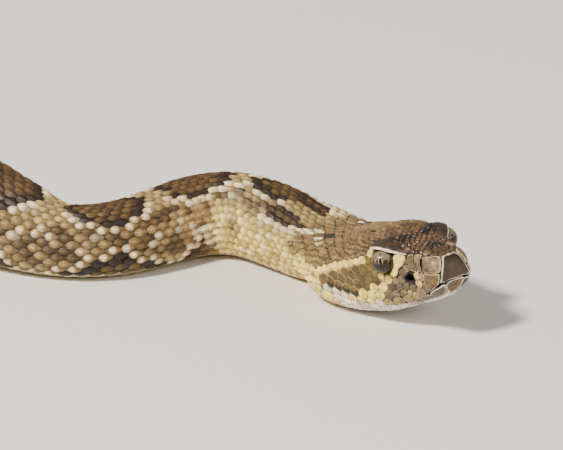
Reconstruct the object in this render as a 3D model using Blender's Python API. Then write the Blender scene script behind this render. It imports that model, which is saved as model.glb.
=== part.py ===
"""A rattlesnake at life size, lying still on a floor: head, jaw, eyes, neck, trunk, tail and rattle.

Every flesh piece is a loft along one spine.  The spine starts at the snout, runs straight through
the head, and from there follows a heading that a short list of bends turns left and right.  Girth
tables say how wide and how high the animal is along that spine, so each piece is a stretch of one
continuous body, parted from the next by a thin cut.  Metres, +Z up, floor at Z = 0.
"""

import math

import bmesh
import bpy
from mathutils import Matrix, Vector

MM = 0.001
GAP = 0.3 * MM                   # clear space left between two pieces

# Where the animal lies.
HEAD_LENGTH = 40.0 * MM          # snout to the angle of the jaw
HEAD_YAW = math.radians(55.5)    # snout swings from +X toward -Y
HEAD_PITCH = math.radians(9.5)   # snout is lifted
HEAD_ROLL = math.radians(5.5)    # left side is lifted
OCCIPUT = Vector((328.0, -1.8, 10.3)) * MM   # spine at the back of the head
NECK_SETTLES_IN = 26.0 * MM      # stretch of neck over which pitch and roll die out

# Lengths along the spine, counted from the snout.
NECK_END = 74.0 * MM
VENT = 815.0 * MM
TAIL_END = 877.0 * MM
TRUNK_LENGTHS = 10
SPINE_STEP = 0.5 * MM

# Bends of the spine, going tailward: where each starts, how long it is, and its turn in degrees.
BENDS = (
    (38.0, 12.0, 7.0),
    (54.0, 30.0, 90.0),
    (84.0, 32.0, -78.0),
    (135.0, 120.0, 96.0),
    (270.0, 150.0, -124.0),
    (435.0, 150.0, 122.0),
    (600.0, 130.0, -110.0),
    (735.0, 90.0, 62.0),
    (830.0, 45.0, -22.0),
)

# Head outline, in head lengths behind the snout and from the line through the eyes: distance,
# half width, height of the crown, depth of the chin, squareness above and below, widest level.
HEAD_GIRTH = (
    (0.000, 0.066, -0.012, 0.132, 2.4, 2.4, -0.070),
    (0.012, 0.096, 0.010, 0.150, 2.7, 2.7, -0.070),
    (0.040, 0.114, 0.034, 0.186, 2.9, 2.9, -0.060),
    (0.100, 0.124, 0.050, 0.215, 3.0, 2.9, -0.040),
    (0.200, 0.138, 0.074, 0.244, 3.0, 3.0, -0.020),
    (0.260, 0.164, 0.093, 0.263, 2.9, 3.2, -0.018),
    (0.330, 0.200, 0.110, 0.283, 2.7, 3.4, -0.015),
    (0.450, 0.238, 0.118, 0.310, 2.4, 3.6, -0.030),
    (0.600, 0.278, 0.092, 0.316, 2.2, 3.7, -0.060),
    (0.740, 0.304, 0.066, 0.302, 2.1, 3.5, -0.075),
    (0.860, 0.298, 0.050, 0.280, 2.1, 3.2, -0.075),
    (0.950, 0.252, 0.038, 0.262, 2.1, 3.0, -0.060),
    (1.000, 0.228, 0.036, 0.252, 2.1, 2.9, -0.040),
)
# Body outline in millimetres: distance from the snout, half width, spine to back, spine to belly.
BODY_GIRTH = (
    (46.0, 9.2, 2.4, 9.9),
    (58.0, 9.3, 5.9, 8.7),
    (70.0, 8.9, 7.6, 8.0),
    (84.0, 8.2, 7.1, 7.3),
    (103.0, 7.8, 6.8, 6.8),
    (117.0, 9.6, 8.8, 8.4),
    (130.0, 11.0, 10.4, 9.8),
    (250.0, 14.2, 13.2, 12.4),
    (430.0, 16.4, 15.0, 14.0),
    (600.0, 15.6, 14.4, 13.2),
    (740.0, 11.6, 11.0, 10.2),
    (815.0, 8.2, 8.0, 7.4),
    (850.0, 6.2, 6.2, 5.7),
    (867.0, 5.1, 5.4, 5.0),
    (877.0, 3.6, 4.6, 4.4),
)
BODY_SQUARE = (2.05, 2.8)        # squareness of the back and of the belly
NAPE_BLEND = (0.9, 1.2)          # head lengths over which the head's section becomes the body's
BELLY_PRESS = 1.06               # how far the round belly would reach below the floor
RING_POINTS = 20
HEAD_RING_POINTS = 30
RING_SPACING = 7.2 * MM
HEAD_SPACING = 1.8 * MM
SNOUT_STOPS = (0.0, 0.35, 1.0)   # the blunt snout's first rings, in head spacings
EGG_GRID, BROW_GRID, HOLE_GRID = (16, 10), (16, 8), (10, 6)      # segments and rows of each ball

# Eyes, pits and nostrils: head lengths behind the snout, to the side and up, and radii.
EYE_AT = (0.318, 0.186, 0.000)
EYE_RADIUS = 2.45 * MM
BROW_AT = (0.302, 0.158, 0.073)
BROW_HALF = (0.116, 0.054, 0.019)
BROW_TOE_IN, BROW_NOSE_DOWN, BROW_SLOPE = 0.28, 0.22, 0.18    # radians
PIT_AT = (0.203, 0.137, -0.094)
PIT_RADIUS = 0.85 * MM
NOSTRIL_AT = (0.108, 0.123, -0.011)
NOSTRIL_RADIUS = 0.55 * MM

# Line of the closed mouth: head lengths behind the snout, and height.
MOUTH_LINE = (
    (-0.100, -0.098), (0.000, -0.101), (0.020, -0.119), (0.060, -0.145), (0.130, -0.173),
    (0.220, -0.205), (0.300, -0.229), (0.390, -0.237), (0.520, -0.216), (0.640, -0.186),
    (0.740, -0.158), (1.100, -0.155),
)
CUTTER_REACH = 0.6               # head lengths from the line through the eyes to a cutter's edge

# The rattle: a chain of lobes, standing taller than wide and resting on the floor.
RATTLE_SEGMENTS = 8
RATTLE_PITCH = 3.3 * MM
RATTLE_HALF = (3.5 * MM, 5.0 * MM)           # half width and half height of the first lobe
RATTLE_TAPER = 0.055                         # each lobe is smaller than the first by this more
RATTLE_LOBE = ((0.0, 0.80), (0.28, 1.0), (0.62, 0.97), (0.9, 0.80))   # place in the lobe, size
RATTLE_END = (0.1, 0.30)                     # how far the last lobe's end stands out, and its size
RATTLE_POINTS = 14

COLOURS = {                      # base colour, roughness
    "crown": ((0.23, 0.17, 0.09), 0.50),
    "jaw": ((0.62, 0.54, 0.36), 0.50),
    "eye": ((0.05, 0.045, 0.035), 0.10),
    "back": ((0.27, 0.20, 0.11), 0.55),
    "tail": ((0.45, 0.44, 0.40), 0.55),
    "rattle": ((0.50, 0.38, 0.20), 0.45),
}


def smooth(t):
    """Ease from 0 to 1 with level ends."""
    t = min(max(t, 0.0), 1.0)
    return t * t * (3.0 - 2.0 * t)


def follow(table, x, column):
    """Read one column of a table at x along a smooth curve that doesn't overshoot its rows."""
    if x <= table[0][0]:
        return table[0][column]
    if x >= table[-1][0]:
        return table[-1][column]
    i = max(k for k in range(len(table) - 1) if table[k][0] <= x)

    def secant(k):
        return (table[k + 1][column] - table[k][column]) / (table[k + 1][0] - table[k][0])

    def slope(k):
        if k == 0 or k == len(table) - 1:
            return secant(min(k, len(table) - 2))
        before, after = secant(k - 1), secant(k)
        return 0.0 if before * after <= 0.0 else 2.0 * before * after / (before + after)

    here, there = table[i][column], table[i + 1][column]
    span = table[i + 1][0] - table[i][0]
    t = (x - table[i][0]) / span
    value = here + (there - here) * smooth(t)
    return value + span * ((t ** 3 - 2 * t ** 2 + t) * slope(i) + (t ** 3 - t ** 2) * slope(i + 1))


def heading(s):
    """Direction of the spine in plan, going tailward, at s metres from the snout."""
    turn = sum(turn * smooth((s / MM - start) / length) for start, length, turn in BENDS)
    return math.pi - HEAD_YAW + math.radians(turn)


def girth(s):
    """Half width, spine to back and to belly, squareness above and below, and widest level, at s."""
    scale = HEAD_LENGTH / MM
    table = [tuple(v * scale for v in row[:4]) for row in HEAD_GIRTH] + list(BODY_GIRTH)
    half, up, down = (follow(table, s / MM, column) * MM for column in (1, 2, 3))
    t = s / HEAD_LENGTH
    blend = smooth((t - NAPE_BLEND[0]) / (NAPE_BLEND[1] - NAPE_BLEND[0]))
    above = follow(HEAD_GIRTH, t, 4) * (1 - blend) + BODY_SQUARE[0] * blend
    below = follow(HEAD_GIRTH, t, 5) * (1 - blend) + BODY_SQUARE[1] * blend
    widest = follow(HEAD_GIRTH, t, 6) * (1 - blend) * HEAD_LENGTH
    return half, up, down, above, below, widest


def build_spine():
    """Frames every SPINE_STEP from the snout to the tip: place, forward, left and up."""
    points = []
    count = int(round(TAIL_END / SPINE_STEP)) + 1
    rear = int(round(HEAD_LENGTH / SPINE_STEP))
    slope = math.sin(HEAD_PITCH)
    x, y = OCCIPUT.x, OCCIPUT.y
    for i in range(rear, count):
        s = i * SPINE_STEP
        settle = smooth((s - HEAD_LENGTH) / NECK_SETTLES_IN)
        line = OCCIPUT.z - (s - HEAD_LENGTH) * slope
        points.append(Vector((x, y, line * (1 - settle) + girth(s)[2] * settle)))
        x += math.cos(heading(s)) * SPINE_STEP
        y += math.sin(heading(s)) * SPINE_STEP
    level = Vector((math.cos(HEAD_YAW), -math.sin(HEAD_YAW), 0))
    ahead = level * math.cos(HEAD_PITCH) + Vector((0, 0, slope))
    points = [OCCIPUT + ahead * (rear - i) * SPINE_STEP for i in range(rear)] + points
    frames = []
    for i, place in enumerate(points):
        s = i * SPINE_STEP
        forward = ahead if i <= rear else (points[i - 1] - points[min(i + 1, count - 1)]).normalized()
        left = Vector((0, 0, 1)).cross(forward).normalized()
        roll = HEAD_ROLL * (1 - smooth((s - HEAD_LENGTH) / NECK_SETTLES_IN))
        left = Matrix.Rotation(roll, 3, forward) @ left
        frames.append((place, forward, left, forward.cross(left)))
    return frames


SPINE = build_spine()


def frame_at(s):
    """The spine's frame at s, between two steps."""
    at = min(max(s / SPINE_STEP, 0.0), len(SPINE) - 1)
    i = min(int(at), len(SPINE) - 2)
    return [a.lerp(b, at - i) for a, b in zip(SPINE[i], SPINE[i + 1])]


def ring(s, points):
    """The body's outline across the spine at s, pressed flat where it meets the floor."""
    place, _, left, up = frame_at(s)
    half, high, low, above, below, widest = girth(s)
    press = 1 + (BELLY_PRESS - 1) * smooth((s - HEAD_LENGTH) / NECK_SETTLES_IN)
    outline = []
    for k in range(points):
        angle = 2 * math.pi * (k + 0.5) / points
        c, n = math.cos(angle), math.sin(angle)
        power = 2 / (above if n > 0 else below)
        side = math.copysign(abs(c) ** power, c) * half
        rise = widest + abs(n) ** power * (high - widest if n > 0 else -low * press - widest)
        point = place + left * side + up * rise
        point.z = max(point.z, 0.0)
        outline.append(point)
    return outline


def material(name):
    """A plain finish of one colour."""
    made = bpy.data.materials.new(name)
    made.use_nodes = True
    shader = made.node_tree.nodes["Principled BSDF"]
    colour, roughness = COLOURS[name]
    shader.inputs["Base Color"].default_value = (*colour, 1)
    shader.inputs["Roughness"].default_value = roughness
    shader.inputs["Metallic"].default_value = 0.0
    return made


def add_object(name, bm, finish, home):
    """Turn a bmesh into a named object with its finish."""
    bmesh.ops.recalc_face_normals(bm, faces=bm.faces)
    mesh = bpy.data.meshes.new(name)
    bm.to_mesh(mesh)
    bm.free()
    mesh.shade_smooth()
    made = bpy.data.objects.new(name, mesh)
    home.objects.link(made)
    if finish:
        mesh.materials.append(finish)
    return made


def loft(name, outlines, finish, home):
    """Join rings of equal count into one closed body with flat ends."""
    bm = bmesh.new()
    rings = [[bm.verts.new(p) for p in outline] for outline in outlines]
    count = len(rings[0])
    for a, b in zip(rings, rings[1:]):
        for k in range(count):
            bm.faces.new((a[k], a[(k + 1) % count], b[(k + 1) % count], b[k]))
    bm.faces.new(rings[0])
    bm.faces.new(rings[-1])
    return add_object(name, bm, finish, home)


def stretch(name, start, end, finish, home):
    """One length of the body between two cuts."""
    first, last = start + GAP / 2, end - GAP / 2
    steps = max(2, round((last - first) / RING_SPACING))
    stops = [first + (last - first) * i / steps for i in range(steps + 1)]
    return loft(name, [ring(s, RING_POINTS) for s in stops], finish, home)


def head_matrix():
    """Head frame: X ahead, Y left, Z up, from the snout, in metres."""
    place, forward, left, up = SPINE[0]
    return Matrix.Translation(place) @ Matrix((forward, left, up)).transposed().to_4x4()


def in_head(at, side=1):
    """A place given in head lengths, on the left (1) or the right (-1)."""
    behind, out, up = at
    return head_matrix() @ (Vector((-behind, side * out, up)) * HEAD_LENGTH)


def ball(name, centre, radii, finish, home, grid=EGG_GRID, turn=None):
    """A sphere or an egg, in the head's frame."""
    bm = bmesh.new()
    bmesh.ops.create_uvsphere(bm, u_segments=grid[0], v_segments=grid[1], radius=1.0)
    shape = Matrix.Diagonal((*radii, 1.0))
    axes = head_matrix().to_3x3().to_4x4()
    place = Matrix.Translation(centre) @ axes @ (turn or Matrix()) @ shape
    bmesh.ops.transform(bm, matrix=place, verts=bm.verts)
    return add_object(name, bm, finish, home)


def mouth_cutter(name, shift, depth, home):
    """A block whose top or bottom follows the mouth line, shifted by half the gap."""
    bm = bmesh.new()
    line = [Vector((-t, 0, z)) * HEAD_LENGTH + Vector((0, 0, shift)) for t, z in MOUTH_LINE]
    far = [Vector((p.x, 0, depth * HEAD_LENGTH)) for p in (line[-1], line[0])]
    side = Vector((0, CUTTER_REACH * HEAD_LENGTH, 0))
    face = bm.faces.new([bm.verts.new(p - side) for p in line + far])
    grown = bmesh.ops.extrude_face_region(bm, geom=[face])["geom"]
    moved = [g for g in grown if isinstance(g, bmesh.types.BMVert)]
    bmesh.ops.translate(bm, verts=moved, vec=side * 2)
    bmesh.ops.transform(bm, matrix=head_matrix(), verts=bm.verts)
    return hide(add_object(name, bm, None, home))


def hide(guide):
    """Mark an object as a cutter or a guide."""
    guide.hide_render = True
    guide.display_type = "WIRE"
    return guide


def boolean(target, cutter, operation):
    """Join or cut one object by another."""
    step = target.modifiers.new(f"{operation.lower()} {cutter.name}", "BOOLEAN")
    step.object = cutter
    step.operation = operation


def brow_turn(side):
    """Tilt of the scale over an eye: its front toes in and dips, its outer edge hangs."""
    return (Matrix.Rotation(-side * BROW_TOE_IN, 4, "Z") @ Matrix.Rotation(BROW_NOSE_DOWN, 4, "Y")
            @ Matrix.Rotation(-side * BROW_SLOPE, 4, "X"))


def build_head(home, tools, finish):
    """Head, lower jaw and eyes, cut from one loft of the closed head."""
    last = HEAD_LENGTH - GAP / 2
    steps = round(last / HEAD_SPACING)
    stops = [*SNOUT_STOPS, *range(2, steps + 1)]
    outlines = [ring(last * i / steps, HEAD_RING_POINTS) for i in stops]
    head = loft("head", outlines, finish["crown"], home)
    jaw = loft("lower_jaw", outlines, finish["jaw"], home)
    for side, word in ((1, "left"), (-1, "right")):
        centre = in_head(EYE_AT, side)
        ball(f"eye_{word}", centre, (EYE_RADIUS,) * 3, finish["eye"], home)
        brow = ball(f"brow_{word}", in_head(BROW_AT, side), [b * HEAD_LENGTH for b in BROW_HALF],
                    None, tools, BROW_GRID, brow_turn(side))
        boolean(head, hide(brow), "UNION")
        socket = ball(f"socket_{word}", centre, (EYE_RADIUS + GAP,) * 3, None, tools)
        boolean(head, hide(socket), "DIFFERENCE")
        for name, at, radius in (("pit", PIT_AT, PIT_RADIUS), ("nostril", NOSTRIL_AT, NOSTRIL_RADIUS)):
            hollow = ball(f"{name}_{word}", in_head(at, side), (radius,) * 3, None, tools, HOLE_GRID)
            boolean(head, hide(hollow), "DIFFERENCE")
    boolean(head, mouth_cutter("below_mouth", GAP / 2, -CUTTER_REACH, tools), "DIFFERENCE")
    boolean(jaw, mouth_cutter("above_mouth", -GAP / 2, CUTTER_REACH, tools), "DIFFERENCE")


def build_rattle(home, finish):
    """A chain of horny lobes, each a little smaller than the one before."""
    place, forward, left, up = SPINE[-1]
    back = -Vector((forward.x, forward.y, 0)).normalized()
    stops = [(segment + step, swell * (1 - RATTLE_TAPER * segment))
             for segment in range(RATTLE_SEGMENTS) for step, swell in RATTLE_LOBE]
    stops.append((RATTLE_SEGMENTS + RATTLE_END[0], RATTLE_END[1]))
    rings = []
    for along, size in stops:
        half, high = (r * size for r in RATTLE_HALF)
        centre = Vector((place.x, place.y, high)) + back * (GAP + along * RATTLE_PITCH)
        rings.append([
            centre + left * half * math.cos(a) + Vector((0, 0, high * math.sin(a)))
            for a in (2 * math.pi * (k + 0.5) / RATTLE_POINTS for k in range(RATTLE_POINTS))
        ])
    loft("rattle", rings, finish["rattle"], home)


def main():
    for old in list(bpy.data.objects):
        bpy.data.objects.remove(old)
    home = bpy.data.collections.new("rattlesnake")
    tools = bpy.data.collections.new("cutters")
    for made in (home, tools):
        bpy.context.scene.collection.children.link(made)
    finish = {name: material(name) for name in COLOURS}
    build_head(home, tools, finish)
    stretch("neck", HEAD_LENGTH, NECK_END, finish["back"], home)
    length = (VENT - NECK_END) / TRUNK_LENGTHS
    for i in range(TRUNK_LENGTHS):
        start = NECK_END + i * length
        stretch(f"trunk_{i + 1}", start, start + length, finish["back"], home)
    stretch("tail", VENT, TAIL_END, finish["tail"], home)
    build_rattle(home, finish)


main()
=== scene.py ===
# %% [markdown]
# # A western diamondback rattlesnake at rest
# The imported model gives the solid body: head, jaw, eyes, neck, ten lengths of trunk, tail and
# rattle.  This lesson covers it with what one sees on the living animal: one unbroken skin, about
# five thousand keeled scales, belly plates, the big shields of the face, glossy eyes and a horny
# rattle.  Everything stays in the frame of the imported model, in metres, with the floor at Z = 0.

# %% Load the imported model
import math

import bpy
import numpy as np
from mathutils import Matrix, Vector, noise
from mathutils.bvhtree import BVHTree


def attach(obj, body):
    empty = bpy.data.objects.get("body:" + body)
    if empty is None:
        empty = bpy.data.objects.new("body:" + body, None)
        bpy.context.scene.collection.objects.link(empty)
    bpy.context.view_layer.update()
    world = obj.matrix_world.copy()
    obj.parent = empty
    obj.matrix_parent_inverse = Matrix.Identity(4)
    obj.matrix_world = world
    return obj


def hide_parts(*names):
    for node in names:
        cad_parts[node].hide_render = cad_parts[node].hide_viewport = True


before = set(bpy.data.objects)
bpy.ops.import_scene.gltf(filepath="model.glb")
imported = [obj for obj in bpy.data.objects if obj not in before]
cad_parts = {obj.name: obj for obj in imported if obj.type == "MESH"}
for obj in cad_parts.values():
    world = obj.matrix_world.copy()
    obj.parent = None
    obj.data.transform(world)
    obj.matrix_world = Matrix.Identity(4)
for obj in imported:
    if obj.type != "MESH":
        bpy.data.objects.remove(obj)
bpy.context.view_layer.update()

MM = 0.001
chance = np.random.default_rng(34)
print("nodes in the frame:", len(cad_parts))

# %% [markdown]
# ## The spine and the girth
# A snake is one long tube, so every place on it can be named by two numbers: how far it is from
# the snout along the spine, and where it is round the body.  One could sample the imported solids
# instead, but their facets are coarse.  Repeating the construction's own spine and girth tables
# gives the same shape, only smooth, and a skin that fits inside the solids on every side.

# %% Sizes shared with the construction
HEAD_LENGTH = 40.0 * MM
HEAD_YAW = math.radians(55.5)
HEAD_PITCH = math.radians(9.5)
HEAD_ROLL = math.radians(5.5)
OCCIPUT = np.array((328.0, -1.8, 10.3)) * MM
NECK_SETTLES_IN = 26.0 * MM
VENT = 815.0 * MM
TAIL_END = 877.0 * MM
SPINE_STEP = 0.5 * MM
BENDS = (                        # start in mm, length in mm, turn in degrees
    (38.0, 12.0, 7.0), (54.0, 30.0, 90.0), (84.0, 32.0, -78.0), (135.0, 120.0, 96.0),
    (270.0, 150.0, -124.0), (435.0, 150.0, 122.0), (600.0, 130.0, -110.0),
    (735.0, 90.0, 62.0), (830.0, 45.0, -22.0),
)
HEAD_GIRTH = (                   # head lengths: distance, half width, crown and chin;
    # squareness above and below; level where it is widest, in head lengths
    (0.000, 0.066, -0.012, 0.132, 2.4, 2.4, -0.070),
    (0.012, 0.096, 0.010, 0.150, 2.7, 2.7, -0.070),
    (0.040, 0.114, 0.034, 0.186, 2.9, 2.9, -0.060),
    (0.100, 0.124, 0.050, 0.215, 3.0, 2.9, -0.040),
    (0.200, 0.138, 0.074, 0.244, 3.0, 3.0, -0.020),
    (0.260, 0.164, 0.093, 0.263, 2.9, 3.2, -0.018),
    (0.330, 0.200, 0.110, 0.283, 2.7, 3.4, -0.015),
    (0.450, 0.238, 0.118, 0.310, 2.4, 3.6, -0.030),
    (0.600, 0.278, 0.092, 0.316, 2.2, 3.7, -0.060),
    (0.740, 0.304, 0.066, 0.302, 2.1, 3.5, -0.075),
    (0.860, 0.298, 0.050, 0.280, 2.1, 3.2, -0.075),
    (0.950, 0.252, 0.038, 0.262, 2.1, 3.0, -0.060),
    (1.000, 0.228, 0.036, 0.252, 2.1, 2.9, -0.040),
)
BODY_GIRTH = (                   # mm: distance, half width, spine to back, spine to belly
    (46.0, 9.2, 2.4, 9.9), (58.0, 9.3, 5.9, 8.7), (70.0, 8.9, 7.6, 8.0), (84.0, 8.2, 7.1, 7.3),
    (103.0, 7.8, 6.8, 6.8), (117.0, 9.6, 8.8, 8.4), (130.0, 11.0, 10.4, 9.8),
    (250.0, 14.2, 13.2, 12.4), (430.0, 16.4, 15.0, 14.0), (600.0, 15.6, 14.4, 13.2),
    (740.0, 11.6, 11.0, 10.2), (815.0, 8.2, 8.0, 7.4), (850.0, 6.2, 6.2, 5.7),
    (867.0, 5.1, 5.4, 5.0), (877.0, 3.6, 4.6, 4.4),
)
BODY_SQUARE = (2.05, 2.8)
NAPE_BLEND = (0.9, 1.2)
BELLY_PRESS = 1.06
MOUTH_LINE = (                   # head lengths behind the snout, and height
    (-0.100, -0.098), (0.000, -0.101), (0.020, -0.119), (0.060, -0.145), (0.130, -0.173),
    (0.220, -0.205), (0.300, -0.229), (0.390, -0.237), (0.520, -0.216), (0.640, -0.186),
    (0.740, -0.158), (1.100, -0.155),
)
print(f"head {HEAD_LENGTH / MM:.0f} mm, snout to rattle {TAIL_END / MM:.0f} mm")


# %% Reading a table along a smooth curve
def smooth(t):
    """Ease from 0 to 1 with level ends."""
    t = np.clip(t, 0.0, 1.0)
    return t * t * (3.0 - 2.0 * t)


def between(a, b, share):
    """A value or colour that is a share of the way from a to b."""
    return a * (1 - share) + b * share


def follow(table, x, column):
    """Read one column of a table at every x, along a curve that doesn't overshoot its rows."""
    rows = np.array(table, float)
    xs, ys = rows[:, 0], rows[:, column]
    secant = np.diff(ys) / np.diff(xs)
    before, after = secant[:-1], secant[1:]
    same_way = before * after > 0
    total = np.where(same_way, before + after, 1.0)
    middle = np.where(same_way, 2 * before * after / total, 0)
    slope = np.concatenate([secant[:1], middle, secant[-1:]])
    x = np.clip(np.asarray(x, float), xs[0], xs[-1])
    i = np.clip(np.searchsorted(xs, x, side="right") - 1, 0, len(xs) - 2)
    span = xs[i + 1] - xs[i]
    t = (x - xs[i]) / span
    value = ys[i] + (ys[i + 1] - ys[i]) * smooth(t)
    return value + span * ((t ** 3 - 2 * t ** 2 + t) * slope[i] + (t ** 3 - t ** 2) * slope[i + 1])


def mouth_height(t):
    """Height of the closed mouth, in head lengths, at t head lengths behind the snout."""
    return np.interp(t, *np.array(MOUTH_LINE).T)


print(f"mouth line under the eye: {mouth_height(0.32) * HEAD_LENGTH / MM:.1f} mm")


# %% The girth
def girth(s):
    """Half width, spine to back and to belly, squareness above and below, and widest level."""
    scale = HEAD_LENGTH / MM
    table = [tuple(v * scale for v in row[:4]) for row in HEAD_GIRTH] + list(BODY_GIRTH)
    half, up, down = (follow(table, s / MM, column) * MM for column in (1, 2, 3))
    t = s / HEAD_LENGTH
    blend = smooth((t - NAPE_BLEND[0]) / (NAPE_BLEND[1] - NAPE_BLEND[0]))
    above, below, widest = (between(follow(HEAD_GIRTH, t, column), body, blend)
                            for column, body in ((4, BODY_SQUARE[0]), (5, BODY_SQUARE[1]), (6, 0)))
    return half, up, down, above, below, widest * HEAD_LENGTH


print(f"head {2 * girth(0.74 * HEAD_LENGTH)[0] / MM:.1f} mm wide at the jaw's angles")


# %% The spine
def unit(v):
    """Vectors of length one."""
    return v / np.maximum(np.linalg.norm(v, axis=-1, keepdims=True), 1e-12)


def run_along(line):
    """Distance from the start of a line of points to each of them."""
    return np.concatenate([[0], np.cumsum(np.linalg.norm(np.diff(line, axis=0), axis=1))])


def turns(count):
    """Even angles round a full circle."""
    return np.arange(count) * 2 * math.pi / count


def build_spine():
    """Places and axes (forward, left, up) every SPINE_STEP from the snout to the tip."""
    count = int(round(TAIL_END / SPINE_STEP)) + 1
    rear = int(round(HEAD_LENGTH / SPINE_STEP))
    s = np.arange(count) * SPINE_STEP
    turn = sum(turn * smooth((s / MM - start) / length) for start, length, turn in BENDS)
    heading = math.pi - HEAD_YAW + np.radians(turn)
    slope = math.sin(HEAD_PITCH)
    level = np.array((math.cos(HEAD_YAW), -math.sin(HEAD_YAW), 0.0))
    ahead = level * math.cos(HEAD_PITCH) + np.array((0, 0, slope))
    settle = smooth((s - HEAD_LENGTH) / NECK_SETTLES_IN)
    steps = np.stack([np.cos(heading), np.sin(heading)], 1) * SPINE_STEP
    place = np.zeros((count, 3))
    place[rear:, :2] = OCCIPUT[:2] + np.concatenate([[(0, 0)], np.cumsum(steps[rear:-1], 0)])
    line = OCCIPUT[2] - (s - HEAD_LENGTH) * slope
    place[rear:, 2] = (line * (1 - settle) + girth(s)[2] * settle)[rear:]
    place[:rear] = OCCIPUT + ahead * ((rear - np.arange(rear)) * SPINE_STEP)[:, None]
    forward = np.tile(ahead, (count, 1))
    after = np.minimum(np.arange(rear + 1, count) + 1, count - 1)
    forward[rear + 1:] = unit(place[rear:count - 1] - place[after])
    left = unit(np.cross((0, 0, 1), forward))
    roll = (HEAD_ROLL * (1 - settle))[:, None]
    left = left * np.cos(roll) + np.cross(forward, left) * np.sin(roll)
    return s, place, forward, left, np.cross(forward, left)


SPINE_S, SPINE_PLACE, SPINE_FORWARD, SPINE_LEFT, SPINE_UP = build_spine()


def spine_at(s, values):
    """Spine values between its steps."""
    return np.stack([np.interp(s, SPINE_S, values[:, i]) for i in range(3)], -1)


print(f"spine: {len(SPINE_S)} steps, {TAIL_END / MM:.0f} mm")

# %% [markdown]
# ## One skin from snout to tail
# The skin is drawn as a grid: rings across the body, and columns that run from end to end.  The
# columns are spread by their distance over the surface, from the edge of the belly plates over
# the back to the other edge, and then across the belly.  A voxel remesh would also close the
# cuts between the solids, but it would lose this grid, and the grid is what lets the scales and
# the markings find their places later.

# %% Rings of the skin
SKIN_INSET = 0.5 * MM            # depth of the coat of scales over the skin
SKIN_ABOVE_FLOOR = 0.30 * MM
BELLY_EDGE = math.radians(-48)   # where the belly plates begin, below the level of the spine
BACK_COLUMNS, BELLY_COLUMNS = 96, 32
COLUMNS = BACK_COLUMNS + BELLY_COLUMNS
MIDBACK = BACK_COLUMNS // 2
HEAD_RING_STEP, BODY_RING_STEP = 0.34 * MM, 1.5 * MM
SNOUT_RINGS = (0.04, 0.16, 0.30, 0.46, 0.62, 0.78, 0.91)
SNOUT_BULGE = 0.40 * MM          # how far the middle of the snout stands before its first ring
OUTLINE_POINTS = 120             # points of an outline before they are spread evenly


def outline(s, angle):
    """Points of the skin across the spine at every s (rows) and angle (columns)."""
    half, high, low, above, below, widest = (v[:, None] for v in girth(s))
    press = 1 + (BELLY_PRESS - 1) * smooth((s - HEAD_LENGTH) / NECK_SETTLES_IN)[:, None]
    c, n = np.cos(angle)[None], np.sin(angle)[None]
    power = 2 / np.where(n > 0, above, below)
    side = np.sign(c) * np.abs(c) ** power * (half - SKIN_INSET)
    reach = np.where(n > 0, high - SKIN_INSET - widest, -(low * press - SKIN_INSET) - widest)
    rise = widest + np.abs(n) ** power * reach
    place, left, up = (spine_at(s, v)[:, None] for v in (SPINE_PLACE, SPINE_LEFT, SPINE_UP))
    points = place + left * side[..., None] + up * rise[..., None]
    points[..., 2] = np.maximum(points[..., 2], SKIN_ABOVE_FLOOR)
    return points


def even(points, count):
    """Resample rows of points to equal distances along each row."""
    reach = np.linalg.norm(np.diff(points, axis=1), axis=2)
    run = np.concatenate([np.zeros((len(points), 1)), np.cumsum(reach, 1)], 1)
    made = np.empty((len(points), count + 1, 3))
    for row, along in enumerate(run):
        stops = np.linspace(0, along[-1], count + 1)
        for axis in range(3):
            made[row, :, axis] = np.interp(stops, along, points[row, :, axis])
    return made, run[:, -1]


def build_grid():
    """The skin's grid of points, the distance of each ring, and the length of each half back."""
    s = np.concatenate([np.arange(SKIN_INSET, HEAD_LENGTH, HEAD_RING_STEP),
                        np.arange(HEAD_LENGTH, TAIL_END - 0.1 * MM, BODY_RING_STEP)])
    s[-1] = TAIL_END             # the last ring meets the rattle

    def part(start, end, columns):
        return even(outline(s, np.linspace(start, end, OUTLINE_POINTS)), columns)

    top = math.pi / 2
    right, right_run = part(top, math.pi - BELLY_EDGE, MIDBACK)
    left, left_run = part(top, BELLY_EDGE, MIDBACK)
    belly = part(BELLY_EDGE, -math.pi - BELLY_EDGE, BELLY_COLUMNS)[0]
    grid = np.concatenate([right[:, ::-1], left[:, 1:], belly[:, 1:-1]], 1)
    middle, ahead = grid[0].mean(0), SPINE_FORWARD[0]
    shares = np.array(SNOUT_RINGS)
    shrink = shares[:, None, None]
    snout = middle + (grid[0] - middle) * shrink + ahead * SNOUT_BULGE * (1 - shrink ** 2)
    run = (left_run + right_run) / 2
    return (np.concatenate([SKIN_INSET * shares ** 3, s]), np.concatenate([snout, grid]),
            np.concatenate([np.full(len(shares), run[0]), run]))


def grid_normals(grid):
    """Outward directions of the skin at every point of the grid."""
    along = np.gradient(grid, axis=0)
    around = np.roll(grid, -1, 1) - np.roll(grid, 1, 1)
    return unit(np.cross(around, along))


RING_S, SKIN, HALF_BACK = build_grid()
print(f"skin grid: {SKIN.shape[0]} rings of {SKIN.shape[1]} points")

# %% [markdown]
# ## Relief of the head
# Skin over a skull isn't a smooth egg.  A rattlesnake has a sharp ridge from brow to nostril, a
# heat-sensing pit between eye and nostril, a round socket, and lips that meet in a groove.  These
# could be sculpted by hand, but each is a simple bump or hollow at a known place, so a function
# moves every point of the head along its own normal.

# %% Where things are on the head, in head lengths behind the snout, out and up
EYE_AT = np.array((0.318, 0.186, 0.000))
EYE_RADIUS = 2.38 * MM
SOCKET = 0.064
PIT_AT, PIT_SIZE = (0.203, -0.094), (0.030, 0.024)
NOSTRIL_AT, NOSTRIL_SIZE = (0.108, -0.011), (0.017, 0.028)
TIP, AHEAD, LEFT, UP = SPINE_PLACE[0], SPINE_FORWARD[0], SPINE_LEFT[0], SPINE_UP[0]


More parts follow.
